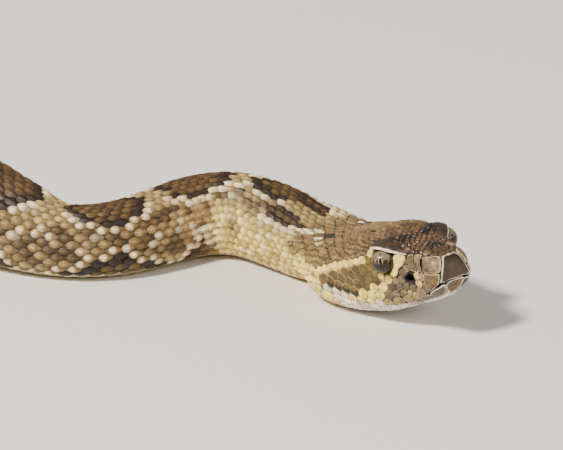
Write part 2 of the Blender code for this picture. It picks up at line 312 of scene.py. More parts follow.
def to_head(points):
    """Places in head lengths: behind the snout, to the left, and up."""
    d = (np.asarray(points) - TIP) / HEAD_LENGTH
    return -(d @ AHEAD), d @ LEFT, d @ UP


def from_head(t, y, z):
    """The place that is t head lengths behind the snout, y to the left and z up."""
    return TIP + (-t * AHEAD + y * LEFT + z * UP) * HEAD_LENGTH


def bump(x, width):
    """A bell of height one."""
    return np.exp(-(x / width) ** 2)


print(f"eyes {2 * EYE_RADIUS / MM:.1f} mm across")


# %% Ridges, lips and holes
def swells(t, y, z):
    """How far ridges and lips stand out of the plain head, in head lengths."""
    flank = smooth((np.abs(y) - 0.055) / 0.03)
    mouth = mouth_height(t)
    stops = smooth((0.76 - t) / 0.05)
    rise = 0.005 * bump(z - mouth - 0.035, 0.022) * stops * flank
    rise = rise - 0.004 * smooth((mouth - z) / 0.02) * stops
    rise = rise - 0.012 * smooth((mouth - z) / 0.012) * smooth((0.11 - t) / 0.09)
    eye = np.hypot(t - EYE_AT[0], z - EYE_AT[2])
    rise = rise + (0.011 + 0.006 * smooth(z / 0.05)) * bump(eye - SOCKET - 0.008, 0.020) * flank
    ridge = bump(z - 0.034 - 0.09 * (t - 0.1), 0.014)
    ridge = ridge * smooth((t - 0.03) / 0.04) * smooth((0.24 - t) / 0.05)
    rise = rise + 0.008 * ridge * flank
    return rise - 0.010 * bump(t - 0.16, 0.05) * bump(z + 0.03, 0.035) * flank


def oval(t, z, at, size):
    """Distance from the middle of an oval: 1 is its edge."""
    return np.hypot((t - at[0]) / size[0], (z - at[1]) / size[1])


def hole_shares(t, y, z):
    """How deep inside the socket, the pit and the nostril a place is: 0 outside, 1 well inside."""
    flank = smooth((np.abs(y) - 0.045) / 0.02)
    eye = smooth((SOCKET - np.hypot(t - EYE_AT[0], z - EYE_AT[2])) / 0.018)
    pit = smooth((1 - oval(t, z, PIT_AT, PIT_SIZE)) / 0.4)
    bend = 6 * (z - NOSTRIL_AT[1]) ** 2      # the nostril is a crescent
    nostril = smooth((1 - oval(t - bend, z, NOSTRIL_AT, NOSTRIL_SIZE)) / 0.5)
    return eye * flank, pit * flank, nostril * flank


def hollows(t, y, z):
    """How deep the holes and the groove between the lips go, in head lengths."""
    eye, pit, nostril = hole_shares(t, y, z)
    lips = bump(z - mouth_height(t), 0.0075) * smooth((0.76 - t) / 0.05)
    return -(0.050 * eye + 0.060 * pit + 0.045 * nostril + 0.012 * lips)


HEAD_ROWS = int(np.searchsorted(RING_S, 1.05 * HEAD_LENGTH))


def raise_head(grid, shape):
    """Move the head's part of the grid along its normals by a function of place."""
    made = grid.copy()
    rise = shape(*to_head(grid[:HEAD_ROWS])) * HEAD_LENGTH
    made[:HEAD_ROWS] += grid_normals(grid)[:HEAD_ROWS] * rise[..., None]
    made[..., 2] = np.maximum(made[..., 2], SKIN_ABOVE_FLOOR)
    return made


PLAIN = raise_head(SKIN, swells)          # the head without its holes: scales lie on this
NORMAL = grid_normals(PLAIN)
SKIN = raise_head(PLAIN, hollows)
print(f"relief on {HEAD_ROWS} rings of the head")

# %% [markdown]
# ## Colours and markings
# Colours are written as a painter would mix them, from 0 to 255, and turned into the linear
# values that the renderer wants.  The markings are worked out once, as functions of place: the
# skin and every scale ask the same functions, so a scale never disagrees with the skin under it.
# A snake's pattern is built scale by scale, so one colour for each scale, a little paler or darker
# toward its edge, looks right where a painted texture would look printed.

# %% The palette
def mix(*rgb):
    """A colour given as a painter would, as linear light."""
    c = np.array(rgb, float) / 255
    return np.where(c <= 0.04045, c / 12.92, ((c + 0.055) / 1.055) ** 2.4)


BLOTCH, BLOTCH_EDGE = mix(92, 67, 34), mix(48, 32, 16)
KHAKI, CREAM = mix(166, 140, 84), mix(238, 212, 164)
FLANK, FLANK_DARK = mix(152, 122, 75), mix(98, 75, 42)
TRIANGLE, TRIANGLE_EDGE = mix(102, 78, 38), mix(44, 29, 15)
LOW_ROWS = mix(186, 160, 100)
BELLY_TONE, BELLY_SHADE = mix(232, 212, 164), mix(174, 148, 104)
YELLOW, WHITE = mix(250, 216, 114), mix(250, 234, 212)
CROWN, CROWN_FRONT, CROWN_DARK = mix(122, 96, 55), mix(78, 55, 31), mix(32, 22, 14)
OLIVE, OLIVE_RIM = mix(96, 74, 26), mix(208, 174, 98)
SNOUT, SNOUT_RIM, SEAM = mix(116, 95, 67), mix(200, 176, 134), mix(34, 23, 14)
NASAL, LIP_BROWN = mix(120, 98, 65), mix(96, 73, 39)
# the nose shield's own olive-brown, darkened further as painted shade
ROSTRAL_IN_PAINTED_SHADE, BROW_TONE, BROW_EDGE = mix(66, 47, 18), mix(52, 34, 20), mix(244, 224, 186)
ASH, SOOT = mix(196, 188, 170), mix(28, 24, 21)
# painted shade: near-black laid into the lips' groove and inside the eye's socket, the pit and the
# nostril
PAINTED_HOLLOW_SHADE = mix(26, 17, 11)
print("palette ready")

# %% Places of the blotches along the back
TAIL_RING = 12.2 * MM            # one black and one white ring of the tail
FIRST_BLOTCH = 56.5              # mm from the snout
BLOTCH_SPACING = ((56, 18.0), (74, 21.0), (95, 22.5), (160, 24.0), (430, 26.0), (700, 23.0),
                  (880, 18.0))   # mm from the snout, mm to the next blotch
BLOTCH_ROWS = ((56, 3.1), (75, 3.9), (110, 4.6), (240, 5.6), (700, 5.4), (815, 4.6))   # half widths
ROWS_ACROSS = ((40, 27.0), (75, 25.0), (600, 25.0), (815, 19.0), (877, 11.0))


def read(table, x):
    """Read a table of pairs with straight lines between its rows."""
    return np.interp(x, *np.array(table).T)


def blotch_places():
    """Middles of the blotches, in mm from the snout, as far as the vent."""
    places = [FIRST_BLOTCH]
    while places[-1] < VENT / MM - 10:
        places.append(places[-1] + float(read(BLOTCH_SPACING, places[-1])))
    return np.array(places)


BLOTCHES = blotch_places()


def rows_across(s):
    """How many rows of scales lie across the back at s."""
    return read(ROWS_ACROSS, s / MM)


def row_width(s):
    """Distance over the surface from one row of scales to the next."""
    return 2 * np.interp(s, RING_S, HALF_BACK) / rows_across(s)


def scale_pitch(s):
    """Distance between scales of one row."""
    return 1.62 * row_width(s)


print(f"{len(BLOTCHES)} blotches, last at {BLOTCHES[-1]:.0f} mm")


# %% Markings of the body
def paint(tone, where, colour):
    """Lay another colour over the places that where picks."""
    return np.where(where[:, None], colour, tone)


def body_tone(s, row, flecks):
    """Colour of the back and flanks at s, row scale rows out from the middle of the back.

    flecks are random numbers from 0 to 1, one for each place."""
    s, fleck = s / MM, flecks[:, None]
    row = np.abs(row - 1.9 * smooth((64 - s) / 6))       # the first blotch lies a little to the left
    nearest = np.abs(s[:, None] - BLOTCHES[None]).argmin(1)
    centre = BLOTCHES[nearest]
    spacing, half = read(BLOTCH_SPACING, centre), read(BLOTCH_ROWS, centre)
    off = np.abs(s - centre)
    # blotch: between a diamond and an oval, with a dark edge
    m = ((off / (0.375 * spacing)) ** 1.8 + (row / half) ** 1.8) ** (1 / 1.8)
    out = (m - 1) * half
    tone = paint(FLANK_DARK, flecks < 0.6, FLANK)
    tone = paint(tone, row < half - 0.4, KHAKI)
    tone = paint(tone, (flecks > 0.95) & (row > half + 1), CREAM * 0.45)
    tone = paint(tone, row > 10.6, LOW_ROWS * (0.75 + 0.4 * fleck))
    # cream scales all round each blotch, but for the crest of the back
    tone = paint(tone, (out >= 0) & (out < 1.05) & (row > 1.2) & (flecks > 0.10), CREAM)
    # crossing pale lines run on down the flanks from the gaps between blotches
    gap = np.abs(off - spacing / 2)
    lane = np.abs((row - half - 0.3) * spacing / 13.0 - gap)
    crossing = (row > half + 0.3) & (row < 10.4) & (lane < 0.055 * spacing)
    tone = paint(tone, crossing & (flecks > 0.35), CREAM * 0.74)
    tone = paint(tone, m < 1, BLOTCH_EDGE)
    tone = paint(tone, m < 1 - 0.95 / half, BLOTCH * (0.85 + 0.3 * fleck))
    # dark triangles above the belly, with pale scales on their slopes
    slope = (row - 8.6) - off / (0.105 * spacing)
    tone = paint(tone, (slope > -1.4) & (slope <= 0.0) & (row > 7.6), CREAM)
    tone = paint(tone, slope > 0.0, TRIANGLE_EDGE)
    return paint(tone, slope > 1.3, TRIANGLE)


def neck_tone(s, row, tone, flecks):
    """The nape: a small blotch on each side, beaded with cream, and pale yellow sides."""
    s, row, fleck = s / MM, np.abs(row), flecks[:, None]
    fade = smooth((73 - s) / 9)
    tone = paint(tone, (fade > 0.5) & (row > 4.6), KHAKI * (0.85 + 0.3 * fleck))
    pale = YELLOW * (0.66 + 0.36 * fleck)
    pale = paint(pale, flecks > 0.72, pale * 0.50 + CREAM * 0.55)
    tone = between(tone, pale, (smooth((row - 5.0) / 1.8) * fade)[:, None])
    spot = smooth((1.5 - oval(s, row, (61.0, 7.9), (2.2, 1.1))) / 0.9)[:, None]
    tone = between(tone, BLOTCH * 1.3, 0.8 * spot)
    blotch = oval(s, row, (49.0, 3.0), (4.4, 1.6))
    tone = paint(tone, (s < 53) & (row < 4.4) & (blotch >= 1.0), KHAKI)
    tone = paint(tone, (s < 50.5) & (row < 6), np.minimum(tone, CREAM * 0.50))
    beads = (blotch >= 1.0) & (blotch < 1.75) & (row > 2.8 - 0.12 * (49 - s)) & (s < 54)
    tone = paint(tone, beads, CREAM * 0.95)
    tone = paint(tone, blotch < 1.0, BLOTCH_EDGE * 1.25)
    return paint(tone, blotch < 0.62, BLOTCH * 0.9)


def tail_tone(s, tone):
    """Black and ash-white rings behind the vent."""
    along = s - VENT
    dark = (along / TAIL_RING) % 1.0 < 0.52
    return paint(tone, along > 0, paint(ASH, dark, SOOT))


def back_tone(s, row, flecks):
    """Colour of a scale of the back."""
    return tail_tone(s, neck_tone(s, row, body_tone(s, row, flecks), flecks))


print("markings of the body ready")


# %% Stripes and spots of the head
UPPER_STRIPE = ((0.380, 0.050), (0.420, 0.012), (0.470, -0.010), (0.530, -0.020), (0.600, -0.036),
                (0.665, -0.052), (0.745, -0.075), (0.772, -0.105), (0.735, -0.150), (0.690, -0.176))
LOWER_STRIPE = ((0.229, 0.003), (0.264, -0.030), (0.296, -0.070), (0.339, -0.111), (0.396, -0.158),
                (0.450, -0.190), (0.520, -0.203))
DARK_SPOTS = ((0.276, 0.047, 0.022), (0.90, 0.105, 0.042), (0.90, 0.060, 0.020))  # at, out, size
PALE_SPOTS = ((0.868, 0.162, 0.020), (0.94, 0.150, 0.022), (1.045, 0.090, 0.026))


def off_line(line, t, z):
    """Distance from a line of points given in head lengths."""
    p = np.stack([np.asarray(t, float), np.asarray(z, float)], -1)
    best = np.full(p.shape[:-1], 9.0)
    for a, b in zip(np.array(line), np.array(line[1:])):
        k = np.clip(((p - a) @ (b - a)) / ((b - a) @ (b - a)), 0, 1)
        best = np.minimum(best, np.linalg.norm(p - a - k[..., None] * (b - a), axis=-1))
    return best


def stripe_level(t):
    """Height of the upper stripe, which parts the crown from the temple."""
    return read(UPPER_STRIPE[:7], t)


def in_spot(spots, t, side):
    """Whether a place of the crown lies in one of some spots, which are longer than wide."""
    return any(math.hypot((t - at) * 0.7, side - out) < size for at, out, size in spots)


def patch(t, y, z, size):
    """Smooth random values from -1 to 1 over the head, in patches of a size in head lengths."""
    return 1.6 * noise.noise(Vector((t, abs(y) * 1.02 + 3.0, z)) / size)


print(len(DARK_SPOTS + PALE_SPOTS), "spots on each side of the crown")


# %% Colours of the head's scales
def head_tone(t, y, z, fleck):
    """Colours of a scale of the head, of its rim and of the seam round it; fleck is from 0 to 1."""
    side = abs(y)
    mouth = float(mouth_height(t))
    if z < mouth:
        return jaw_tone(t, z, mouth, fleck)
    if off_line(LOWER_STRIPE, t, z) < (0.029 if t > 0.29 else 0.016) and side > 0.1:
        return YELLOW * (0.92 + 0.14 * fleck), YELLOW * 0.78, YELLOW * 0.30
    if off_line(UPPER_STRIPE, t, z) < 0.017 and side > 0.12:
        return YELLOW * (0.84 + 0.16 * fleck), YELLOW * 0.70, YELLOW * 0.30
    if z < mouth + 0.042 and 0.40 < t < 0.75:
        tone = (WHITE * 0.75 + YELLOW * 0.25) * (0.92 + 0.08 * fleck)
        return tone, tone * 0.84, tone * 0.40
    if side > 0.12 and z < float(stripe_level(t)) and 0.36 < t < 0.77:
        # glow is a painted highlight on the upper temple just behind the eye
        glow = 1 + 0.9 * float(smooth((0.44 - t) / 0.10) * smooth((z + 0.10) / 0.06))
        rim = OLIVE_RIM * (0.30 + 0.50 * float(smooth((t - 0.42) / 0.14)))
        return OLIVE * (0.70 + 0.5 * fleck) * glow, rim, rim * 0.6
    if t < 0.42 and z < 0.040 and side > 0.06:
        near_lip = float(smooth((mouth + 0.055 - z) / 0.02) * smooth((t - 0.12) / 0.08))
        pale = YELLOW * 0.62
        tone = SNOUT * (0.44 + 0.70 * fleck + 0.50 * patch(t, y, z, 0.05))
        tone = between(tone, pale, 0.5 * near_lip)
        if math.hypot(t - 0.155, z + 0.095) < 0.026:
            tone = pale
        return tone, tone * 0.6 + SNOUT_RIM * 0.35, SEAM
    if t > 0.76 and z < -0.02 and side > 0.15:
        tone = between(CROWN, YELLOW, float(smooth((t - 0.76) / 0.05) * smooth((-0.02 - z) / 0.06)))
        return tone * (0.8 + 0.3 * fleck), tone * 0.7, tone * 0.35
    front = float(smooth((0.56 - t) / 0.24))
    blot = patch(t, y, z, 0.085) + 0.5 * patch(t, y, z + 7, 0.035)
    tone = between(CROWN, CROWN_FRONT, front) * (0.74 + 0.40 * fleck + (0.30 + 0.25 * front) * blot)
    if (blot < -0.62 and t < 0.60) or in_spot(DARK_SPOTS, t, side):
        tone = CROWN_DARK * (0.9 + 0.5 * fleck)
    if in_spot(PALE_SPOTS, t, side):
        tone = CREAM * (0.66 + 0.3 * fleck)
    return tone, tone * 0.72, tone * 0.30


def jaw_tone(t, z, mouth, fleck):
    """Colours below the mouth: brown in front, white on the lips and throat, yellow at the back."""
    brown = float(smooth((0.30 - t) / 0.08) * (1 - smooth((mouth - 0.050 - z) / 0.02)))
    body = WHITE * (0.86 + 0.14 * fleck)
    if t > 0.66 and z > mouth - 0.11:
        body = YELLOW * (0.8 + 0.2 * fleck)
    if t < 0.30 and brown < 0.5:
        body = body * (0.70 + 0.3 * fleck)
    body = between(body, LIP_BROWN * (0.8 + 0.4 * fleck), brown)
    return body, WHITE * 0.92 if brown > 0.5 else body * 0.84, WHITE * 0.35


print("markings of the head ready")

# %% [markdown]
# ## Materials
# Scales are dry horn: hardly any colour of their own shine, but a soft satin reflection that
# breaks up over fine grooves.  The colour of each point comes from the markings, stored on the
# mesh as a colour attribute; the shader only adds what is too fine for the mesh, such as
# peppering, a change of roughness and hair-fine grooves.  An image could do the same, but noise
# in the object's own space needs no file and never shows a seam.

# %% Starting a finish
def new_finish(name, settings):
    """A new material with numbers set on its shader's own sockets, its nodes and the shader."""
    made = bpy.data.materials.new(name)
    made.use_nodes = True
    shader = made.node_tree.nodes["Principled BSDF"]
    for key, value in settings.items():
        shader.inputs[key].default_value = value
    return made, made.node_tree, shader


def stored_colour(tree):
    """The colour that is stored on the mesh."""
    node = tree.nodes.new("ShaderNodeAttribute")
    node.attribute_name = "coat"
    return node.outputs["Color"]


print("ready to make finishes")


# %% A finish for horn and skin
GROOVE_DEPTH = 0.05 * MM


def coat_finish(name, roughness, speckle, groove, grain=1400.0, shine=0.4):
    """A satin surface whose colour is stored on the mesh.

    speckle and groove are strengths; grain is how many noise cells lie in a metre."""
    made, tree, shader = new_finish(name, {"Specular IOR Level": shine})

    def node(kind, inputs, operation=None):
        """Output of a node whose inputs are numbers or other nodes' outputs."""
        fresh = tree.nodes.new(kind)
        if operation:
            fresh.operation = operation
        for key, value in inputs.items():
            if isinstance(value, bpy.types.NodeSocket):
                tree.links.new(value, fresh.inputs[key])
            else:
                fresh.inputs[key].default_value = value
        return fresh.outputs

    place = node("ShaderNodeTexCoord", {})["Object"]

    def grains(scale, detail):
        inputs = {"Vector": place, "Scale": grain * scale, "Detail": detail}
        return node("ShaderNodeTexNoise", inputs)["Fac"]

    def ramp(source, low, high, to_low, to_high):
        return node("ShaderNodeMapRange", {"Value": source, "From Min": low, "From Max": high,
                                           "To Min": to_low, "To Max": to_high})["Result"]

    def product(a, b):
        return node("ShaderNodeMath", {0: a, 1: b}, "MULTIPLY")[0]

    pepper = ramp(grains(1.0, 3.0), 0.3, 0.7, 1 - speckle, 1 + speckle)
    patches = ramp(grains(0.32, 2.0), 0.3, 0.7, 1 - speckle, 1 + speckle)
    specks = ramp(grains(2.4, 2.0), 0.36, 0.44, 1 - 1.1 * speckle, 1.0)
    shade = product(product(pepper, patches), specks)
    tint = node("ShaderNodeVectorMath", {0: stored_colour(tree), "Scale": shade}, "SCALE")[0]
    lift = node("ShaderNodeBump", {"Strength": groove, "Distance": GROOVE_DEPTH,
                                   "Height": grains(1.6, 4.0)})["Normal"]
    rough = ramp(grains(0.5, 2.0), 0.35, 0.65, *roughness)
    for source, key in ((tint, "Base Color"), (rough, "Roughness"), (lift, "Normal")):
        tree.links.new(source, shader.inputs[key])
    return made


SKIN_FINISH = coat_finish("bare_skin", (0.55, 0.75), 0.15, 0.25)
SCALE_FINISH = coat_finish("keeled_scales", (0.42, 0.62), 0.24, 0.40)
SHIELD_FINISH = coat_finish("smooth_shields", (0.28, 0.54), 0.36, 0.40, shine=0.55)
BELLY_FINISH = coat_finish("belly_plates", (0.26, 0.42), 0.10, 0.12, shine=0.5)
print("materials ready")


# %% Making a mesh that carries its colours and its unwrap
def net(rings, around, order=(0, 1, 2, 3), closed=True):
    """Faces between rings of points.

    The corners are here, beside, beside on the next ring and the next ring; order says which
    comes first and which way the face turns."""
    here = np.arange(rings * around).reshape(rings, around)
    beside = np.roll(here, -1, 1)
    corners = [c if closed else c[:, :-1] for c in (here[:-1], beside[:-1], beside[1:], here[1:])]
    return np.stack([corners[i] for i in order], -1).reshape(-1, 4)


def ends(first, last, around):
    """Flat faces on the first and last rings of a tube, given the first point of each."""
    return [list(range(first, first + around))[::-1], list(range(last, last + around))]


def make_piece(name, points, faces, tones, spots, finish):
    """A mesh with a colour for each point (attribute coat) and an unwrap named OFBake.

    spots are the places on the unwrap, one for each point or one for each corner of a face."""
    mesh = bpy.data.meshes.new(name)
    mesh.from_pydata(np.asarray(points).tolist(), [], [list(map(int, f)) for f in faces])
    rgba = np.ones((len(points), 4), np.float32)
    rgba[:, :3] = np.clip(tones, 0, 1)
    mesh.color_attributes.new("coat", "FLOAT_COLOR", "POINT").data.foreach_set("color", rgba.ravel())
    corners = np.empty(len(mesh.loops), np.int32)
    mesh.loops.foreach_get("vertex_index", corners)
    spots = np.asarray(spots, np.float32)
    spots = spots[corners] if len(spots) == len(points) else spots
    mesh.uv_layers.new(name="OFBake").uv.foreach_set("vector", spots.ravel())
    mesh.materials.append(finish)
    mesh.shade_smooth()
    piece = bpy.data.objects.new(name, mesh)
    bpy.context.scene.collection.objects.link(piece)
    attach(piece, "root")
    triangles = sum(len(f) - 2 for f in faces)
    print(f"{name}: {len(points)} points, {triangles} triangles")
    return piece


print("ready to make pieces")


# %% The unwrap: the skin laid flat in strips
HEAD_STRIP = 46.0 * MM           # length of skin that the head's own corner of the map holds
LANE = 139.0 * MM                # length of skin in one strip, half as long as the map is wide
LANES_OF_BODY = 6
PATCH = 0.003                    # width of a scale's patch on the map


def unwrap(s, column, lane=None):
    """Place on the flat map of the skin at s and at a column of the grid.

    Columns count from the left edge of the belly.  A lane, once chosen, holds a whole face."""
    s, around = np.asarray(s, float), (np.asarray(column, float) - BACK_COLUMNS) / COLUMNS
    lane = lane_of(s) if lane is None else lane
    rest = (s - HEAD_STRIP - np.maximum(lane, 0) * LANE) / LANE
    corner_u = np.where(lane < 2, 0.5, (lane % 2) * 0.5)
    corner_v = np.where(lane < 2, 0.5 + 0.25 * lane, np.where(lane < 4, 0.0, 0.25))
    body = (corner_u + 0.006 + 0.488 * rest, corner_v + 0.005 + 0.24 * around)
    head = (0.006 + 0.475 * s / HEAD_STRIP, 0.505 + 0.49 * around)
    return np.stack([np.where(lane < 0, h, b) for h, b in zip(head, body)], -1)


def from_belly(column):
    """The same column, counted from the left edge of the belly on."""
    return (column - BACK_COLUMNS) % COLUMNS + BACK_COLUMNS


def lane_of(s):
    """Number of the strip that holds s: -1 for the head, then 0 to 5."""
    return np.clip((np.asarray(s, float) - HEAD_STRIP) // LANE, -1, LANES_OF_BODY - 1)


print("unwrap of the body in strips of", round(LANE / MM), "mm")


# %% The skin itself
HEAD_TONES_END = 1.12 * HEAD_LENGTH


def skin_tones():
    """Colours of the bare skin between the scales, with painted shade in the lips' groove and the
    head's holes.
    """
    rings, columns = SKIN.shape[:2]
    s = np.repeat(RING_S, columns)
    column = np.tile(np.arange(columns), rings)
    row = (column - MIDBACK) / MIDBACK * rows_across(s) / 2
    flecks = chance.random(len(s))
    tone = back_tone(s, row, flecks * 0.4) * 0.25
    pale = smooth((np.abs(row) - 7) / 3) * smooth((66 - s / MM) / 10)
    tone = between(tone, YELLOW * 0.6, pale[:, None])
    tone = paint(tone, (column > BACK_COLUMNS) & (s < VENT), BELLY_SHADE)
    t, y, z = to_head(PLAIN.reshape(-1, 3))
    for i in np.nonzero(s < HEAD_TONES_END)[0]:
        tone[i] = head_tone(t[i], y[i], z[i], flecks[i])[2]
    # painted shade in the groove between the lips and inside the socket, pit and nostril
    dark = bump(z - mouth_height(t), 0.010) * (t < 0.75) + sum(hole_shares(t, y, z))
    return between(tone, PAINTED_HOLLOW_SHADE * 0.5, np.clip(dark * (s < HEAD_LENGTH), 0, 1)[:, None])


def build_skin():
    """The closed skin: the grid, and a flat face at each end."""
    rings, columns = SKIN.shape[:2]
    last = (rings - 1) * columns
    faces = net(rings, columns).tolist() + ends(0, last, columns)
    i, k = np.divmod(np.arange(last), columns)
    turn = from_belly(k)
    lane = lane_of(RING_S[i])
    corners = [unwrap(RING_S[a], b, lane)
               for a, b in ((i, turn), (i, turn + 1), (i + 1, turn + 1), (i + 1, turn))]
    spots = np.concatenate([np.stack(corners, 1).reshape(-1, 2), np.full((2 * columns, 2), PATCH)])
    return make_piece("skin", SKIN.reshape(-1, 3), faces, skin_tones(), spots, SKIN_FINISH)


skin = build_skin()
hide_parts("head", "lower_jaw", "neck", "tail", *[f"trunk_{i + 1}" for i in range(10)])


# %% [markdown]
# ## Keeled scales of the back
# Each scale is a small plate of horn, fixed at its front edge and free at its tip, with a keel
# down the middle, and each lies over the roots of the next.  Instances of one scale would be
# lighter, but they aren't kept by an export, and one stiff copy can't follow a bending body.  So
# one template of points is laid on the skin thousands of times at once by array arithmetic: its
# width, length and lift come from the row that it grows in.

# %% Reading the skin between its grid points
def on_skin(s, column):
    """Places and normals on the skin at s and at a column, which wraps round the belly."""
    row = np.interp(s, RING_S, np.arange(len(RING_S)))
    i = np.clip(np.floor(row).astype(int), 0, len(RING_S) - 2)
    f = (row - i)[..., None]
    k = np.floor(column).astype(int)
    g = (column - k)[..., None]
    k0, k1 = k % COLUMNS, (k + 1) % COLUMNS

    def blend(grid):
        return ((grid[i, k0] * (1 - g) + grid[i, k1] * g) * (1 - f)
                + (grid[i + 1, k0] * (1 - g) + grid[i + 1, k1] * g) * f)

    return blend(PLAIN), unit(blend(NORMAL))


def stretch_at(s, column):
    """Metres of surface for each metre of spine, and for each column, at a place."""
    step = BODY_RING_STEP

    def apart(ds, dc):
        there, back = (on_skin(s + sign * ds, column + sign * dc)[0] for sign in (1, -1))
        return np.linalg.norm(there - back, axis=-1)

    return np.maximum(apart(step, 0) / (2 * step), 0.35), np.maximum(apart(0, 1) / 2, 0.02 * MM)


thick = stretch_at(np.array([430 * MM]), np.array([MIDBACK]))[1][0]
print(f"one column is {thick / MM:.2f} mm wide where the trunk is thickest")


# %% The template of one scale
STATIONS = np.array((0.0, 0.16, 0.36, 0.56, 0.74, 0.89, 1.0))       # root to tip
STATION_WIDTH = np.array((0.34, 0.66, 0.90, 1.00, 0.90, 0.60, 0.14))
STATION_SIDES = np.array((-1.0, -0.74, -0.44, -0.16, 0.0, 0.16, 0.44, 0.74, 1.0))


def template():
    """Along and across fractions, height parts, skirt, rim share and faces of one scale."""
    u, v = np.meshgrid(STATIONS, STATION_SIDES, indexing="ij")
    width = STATION_WIDTH[:, None]
    crown = 1 - np.abs(v) ** 2.2
    swell = np.sin(np.pi * np.clip(u * 0.86 + 0.08, 0, 1)) ** 0.6 * crown
    keel = np.clip(1 - np.abs(v) / 0.30, 0, 1) ** 1.5
    keel = keel * smooth(u / 0.3) * (1 - smooth((u - 0.90) / 0.10))
    lift = u ** 0.9 * (0.62 + 0.38 * crown)
    rim = np.maximum(np.abs(v) ** 2.4, smooth((u - 0.74) / 0.26))
    index = np.arange(u.size).reshape(u.shape)
    edge = np.concatenate([index[:, 0], index[-1, 1:], index[-2::-1, -1]])   # sides and tip
    skirt = u.size + np.arange(len(edge))    # the edge again, down in the skin
    faces = np.concatenate([net(*u.shape, closed=False),
                            np.stack([edge[:-1], edge[1:], skirt[1:], skirt[:-1]], -1)])

    def with_skirt(values, edge_values):
        return np.concatenate([values.ravel(), np.broadcast_to(edge_values, len(edge))])

    across = with_skirt(v * width, (v * width).ravel()[edge] * 0.94)
    along = with_skirt(u, u.ravel()[edge] * 0.985)
    parts = [with_skirt(part, 0.0) for part in (swell, keel, lift)]
    return along, across, parts, with_skirt(0 * u, 1.0), with_skirt(rim, 1.0), faces


ALONG, ACROSS, (SWELL, KEEL, LIFT), SKIRT, SHADE, SCALE_FACES = template()
print(f"one scale: {len(ALONG)} points, {2 * len(SCALE_FACES)} triangles")


# %% Laying many scales at once
LAID_ABOVE_SKIN = 0.03 * MM
SKIRT_IN_SKIN = 0.10 * MM
LAID_ABOVE_FLOOR = 0.02 * MM


def copies(faces, count, size):
    """The faces of count copies of one plate, each with its own size points."""
    return (faces[None] + np.arange(count)[:, None, None] * size).reshape(-1, 4)


def lay_scales(name, roots, finish):
    """Lay one scale at each root and join them into one piece.

    roots is a dict of arrays: s, column, length, width, swell, keel, lift, root (the colour of
    the root), tone and rim."""
    each = {key: value[:, None] for key, value in roots.items()}
    stretch, column_size = (v[:, None] for v in stretch_at(roots["s"], roots["column"]))
    s = each["s"] + ALONG * each["length"] / stretch
    column = each["column"] + ACROSS * each["width"] / 2 / column_size
    place, normal = on_skin(s, column)
    height = LAID_ABOVE_SKIN + SWELL * each["swell"] + KEEL * each["keel"] + LIFT * each["lift"]
    height = np.where(SKIRT > 0, -SKIRT_IN_SKIN, height)
    points = place + normal * height[..., None]
    points[..., 2] = np.maximum(points[..., 2], LAID_ABOVE_FLOOR)
    tones = between(each["root"], each["tone"], smooth((ALONG - 0.34) / 0.30)[:, None])
    tones = between(tones, each["rim"], SHADE[:, None])
    # painted light: a highlight along the keel, and painted shade deepening toward the covered root
    ridge = (1 + 0.30 * KEEL) * (0.66 + 0.42 * smooth((ALONG - 0.20) / 0.55))
    spots = unwrap(roots["s"], from_belly(roots["column"]))[:, None]
    spots = spots + PATCH / 2 * np.stack([2 * ALONG - 1, ACROSS], -1)
    faces = copies(SCALE_FACES, len(s), len(ALONG))
    piece = make_piece(name, points.reshape(-1, 3), faces, (tones * ridge[:, None]).reshape(-1, 3),
                       spots.reshape(-1, 2), finish)


print("ready to lay scales")


# %% Where the scales of the back grow
FIRST_SCALE = 43.5 * MM


def back_roots():
    """Roots of every scale of the back: s, row and column."""
    s_list, rows = [], []
    s, odd = FIRST_SCALE, 0
    while s < TAIL_END - 1.2 * MM:
        reach = int((rows_across(s) - 1) / 2 + 0.25)
        row = np.arange(-reach + (reach + odd) % 2, reach + 1, 2, float)
        s_list.append(np.full(len(row), s))
        rows.append(row)
        s += float(scale_pitch(s)) / 2
        odd = 1 - odd
    return np.concatenate(s_list), np.concatenate(rows)


print(len(back_roots()[0]), "scales grow on the back")


# %% Growing the scales of the back, in five bands that run the whole length
def grow_back():
    """Scales of the back: a crest, and two bands on each side."""
    s, row = back_roots()
    s = s + chance.normal(0, 0.045, len(s)) * scale_pitch(s)
    width, pitch = row_width(s), scale_pitch(s)
    flecks = chance.random(len(s))
    tone = back_tone(s, row, flecks) * (0.80 + 0.36 * chance.random(len(s)))[:, None]
    bright = np.clip(tone.sum(1) / 1.6, 0, 1)
    # the rim is the tone darkened: partly the scale's own darker edge, partly painted shade round its
    # dome
    rim = tone * (0.30 + 0.20 * bright)[:, None]
    # the pale scales of the trunk, off the crest, have a darker root and rim
    pale = smooth((tone[:, 2] - 0.20) / 0.10) * (s < VENT) * smooth((s / MM - 66) / 8)
    pale = (pale * smooth((np.abs(row) - 2) / 2))[:, None]
    roots = {
        "s": s - 0.42 * pitch,
        "column": MIDBACK + (row + chance.normal(0, 0.05, len(s))) / (rows_across(s) / 2) * MIDBACK,
        "length": pitch * 1.34, "width": width * (1.40 + 0.08 * chance.random(len(s))),
        "swell": width * (0.16 + 0.05 * bright),
        "keel": width * 0.115 * smooth((12.5 - np.abs(row)) / 4),
        "lift": width * (0.10 + 0.03 * chance.random(len(s))), "tone": tone,
        # off the pale scales, the darker root is painted shade under the scale in front
        "root": between(tone * 0.74, FLANK * 0.85, pale),
        "rim": between(rim, FLANK_DARK * 0.8, pale),
    }
    bands = {"scales_crest": np.abs(row) < 3, "scales_left_upper": (row >= 3) & (row < 8),
             "scales_left_lower": row >= 8, "scales_right_upper": (row <= -3) & (row > -8),
             "scales_right_lower": row <= -8}
    for name, chosen in bands.items():
        lay_scales(name, {k: v[chosen] for k, v in roots.items()}, SCALE_FINISH)


grow_back()

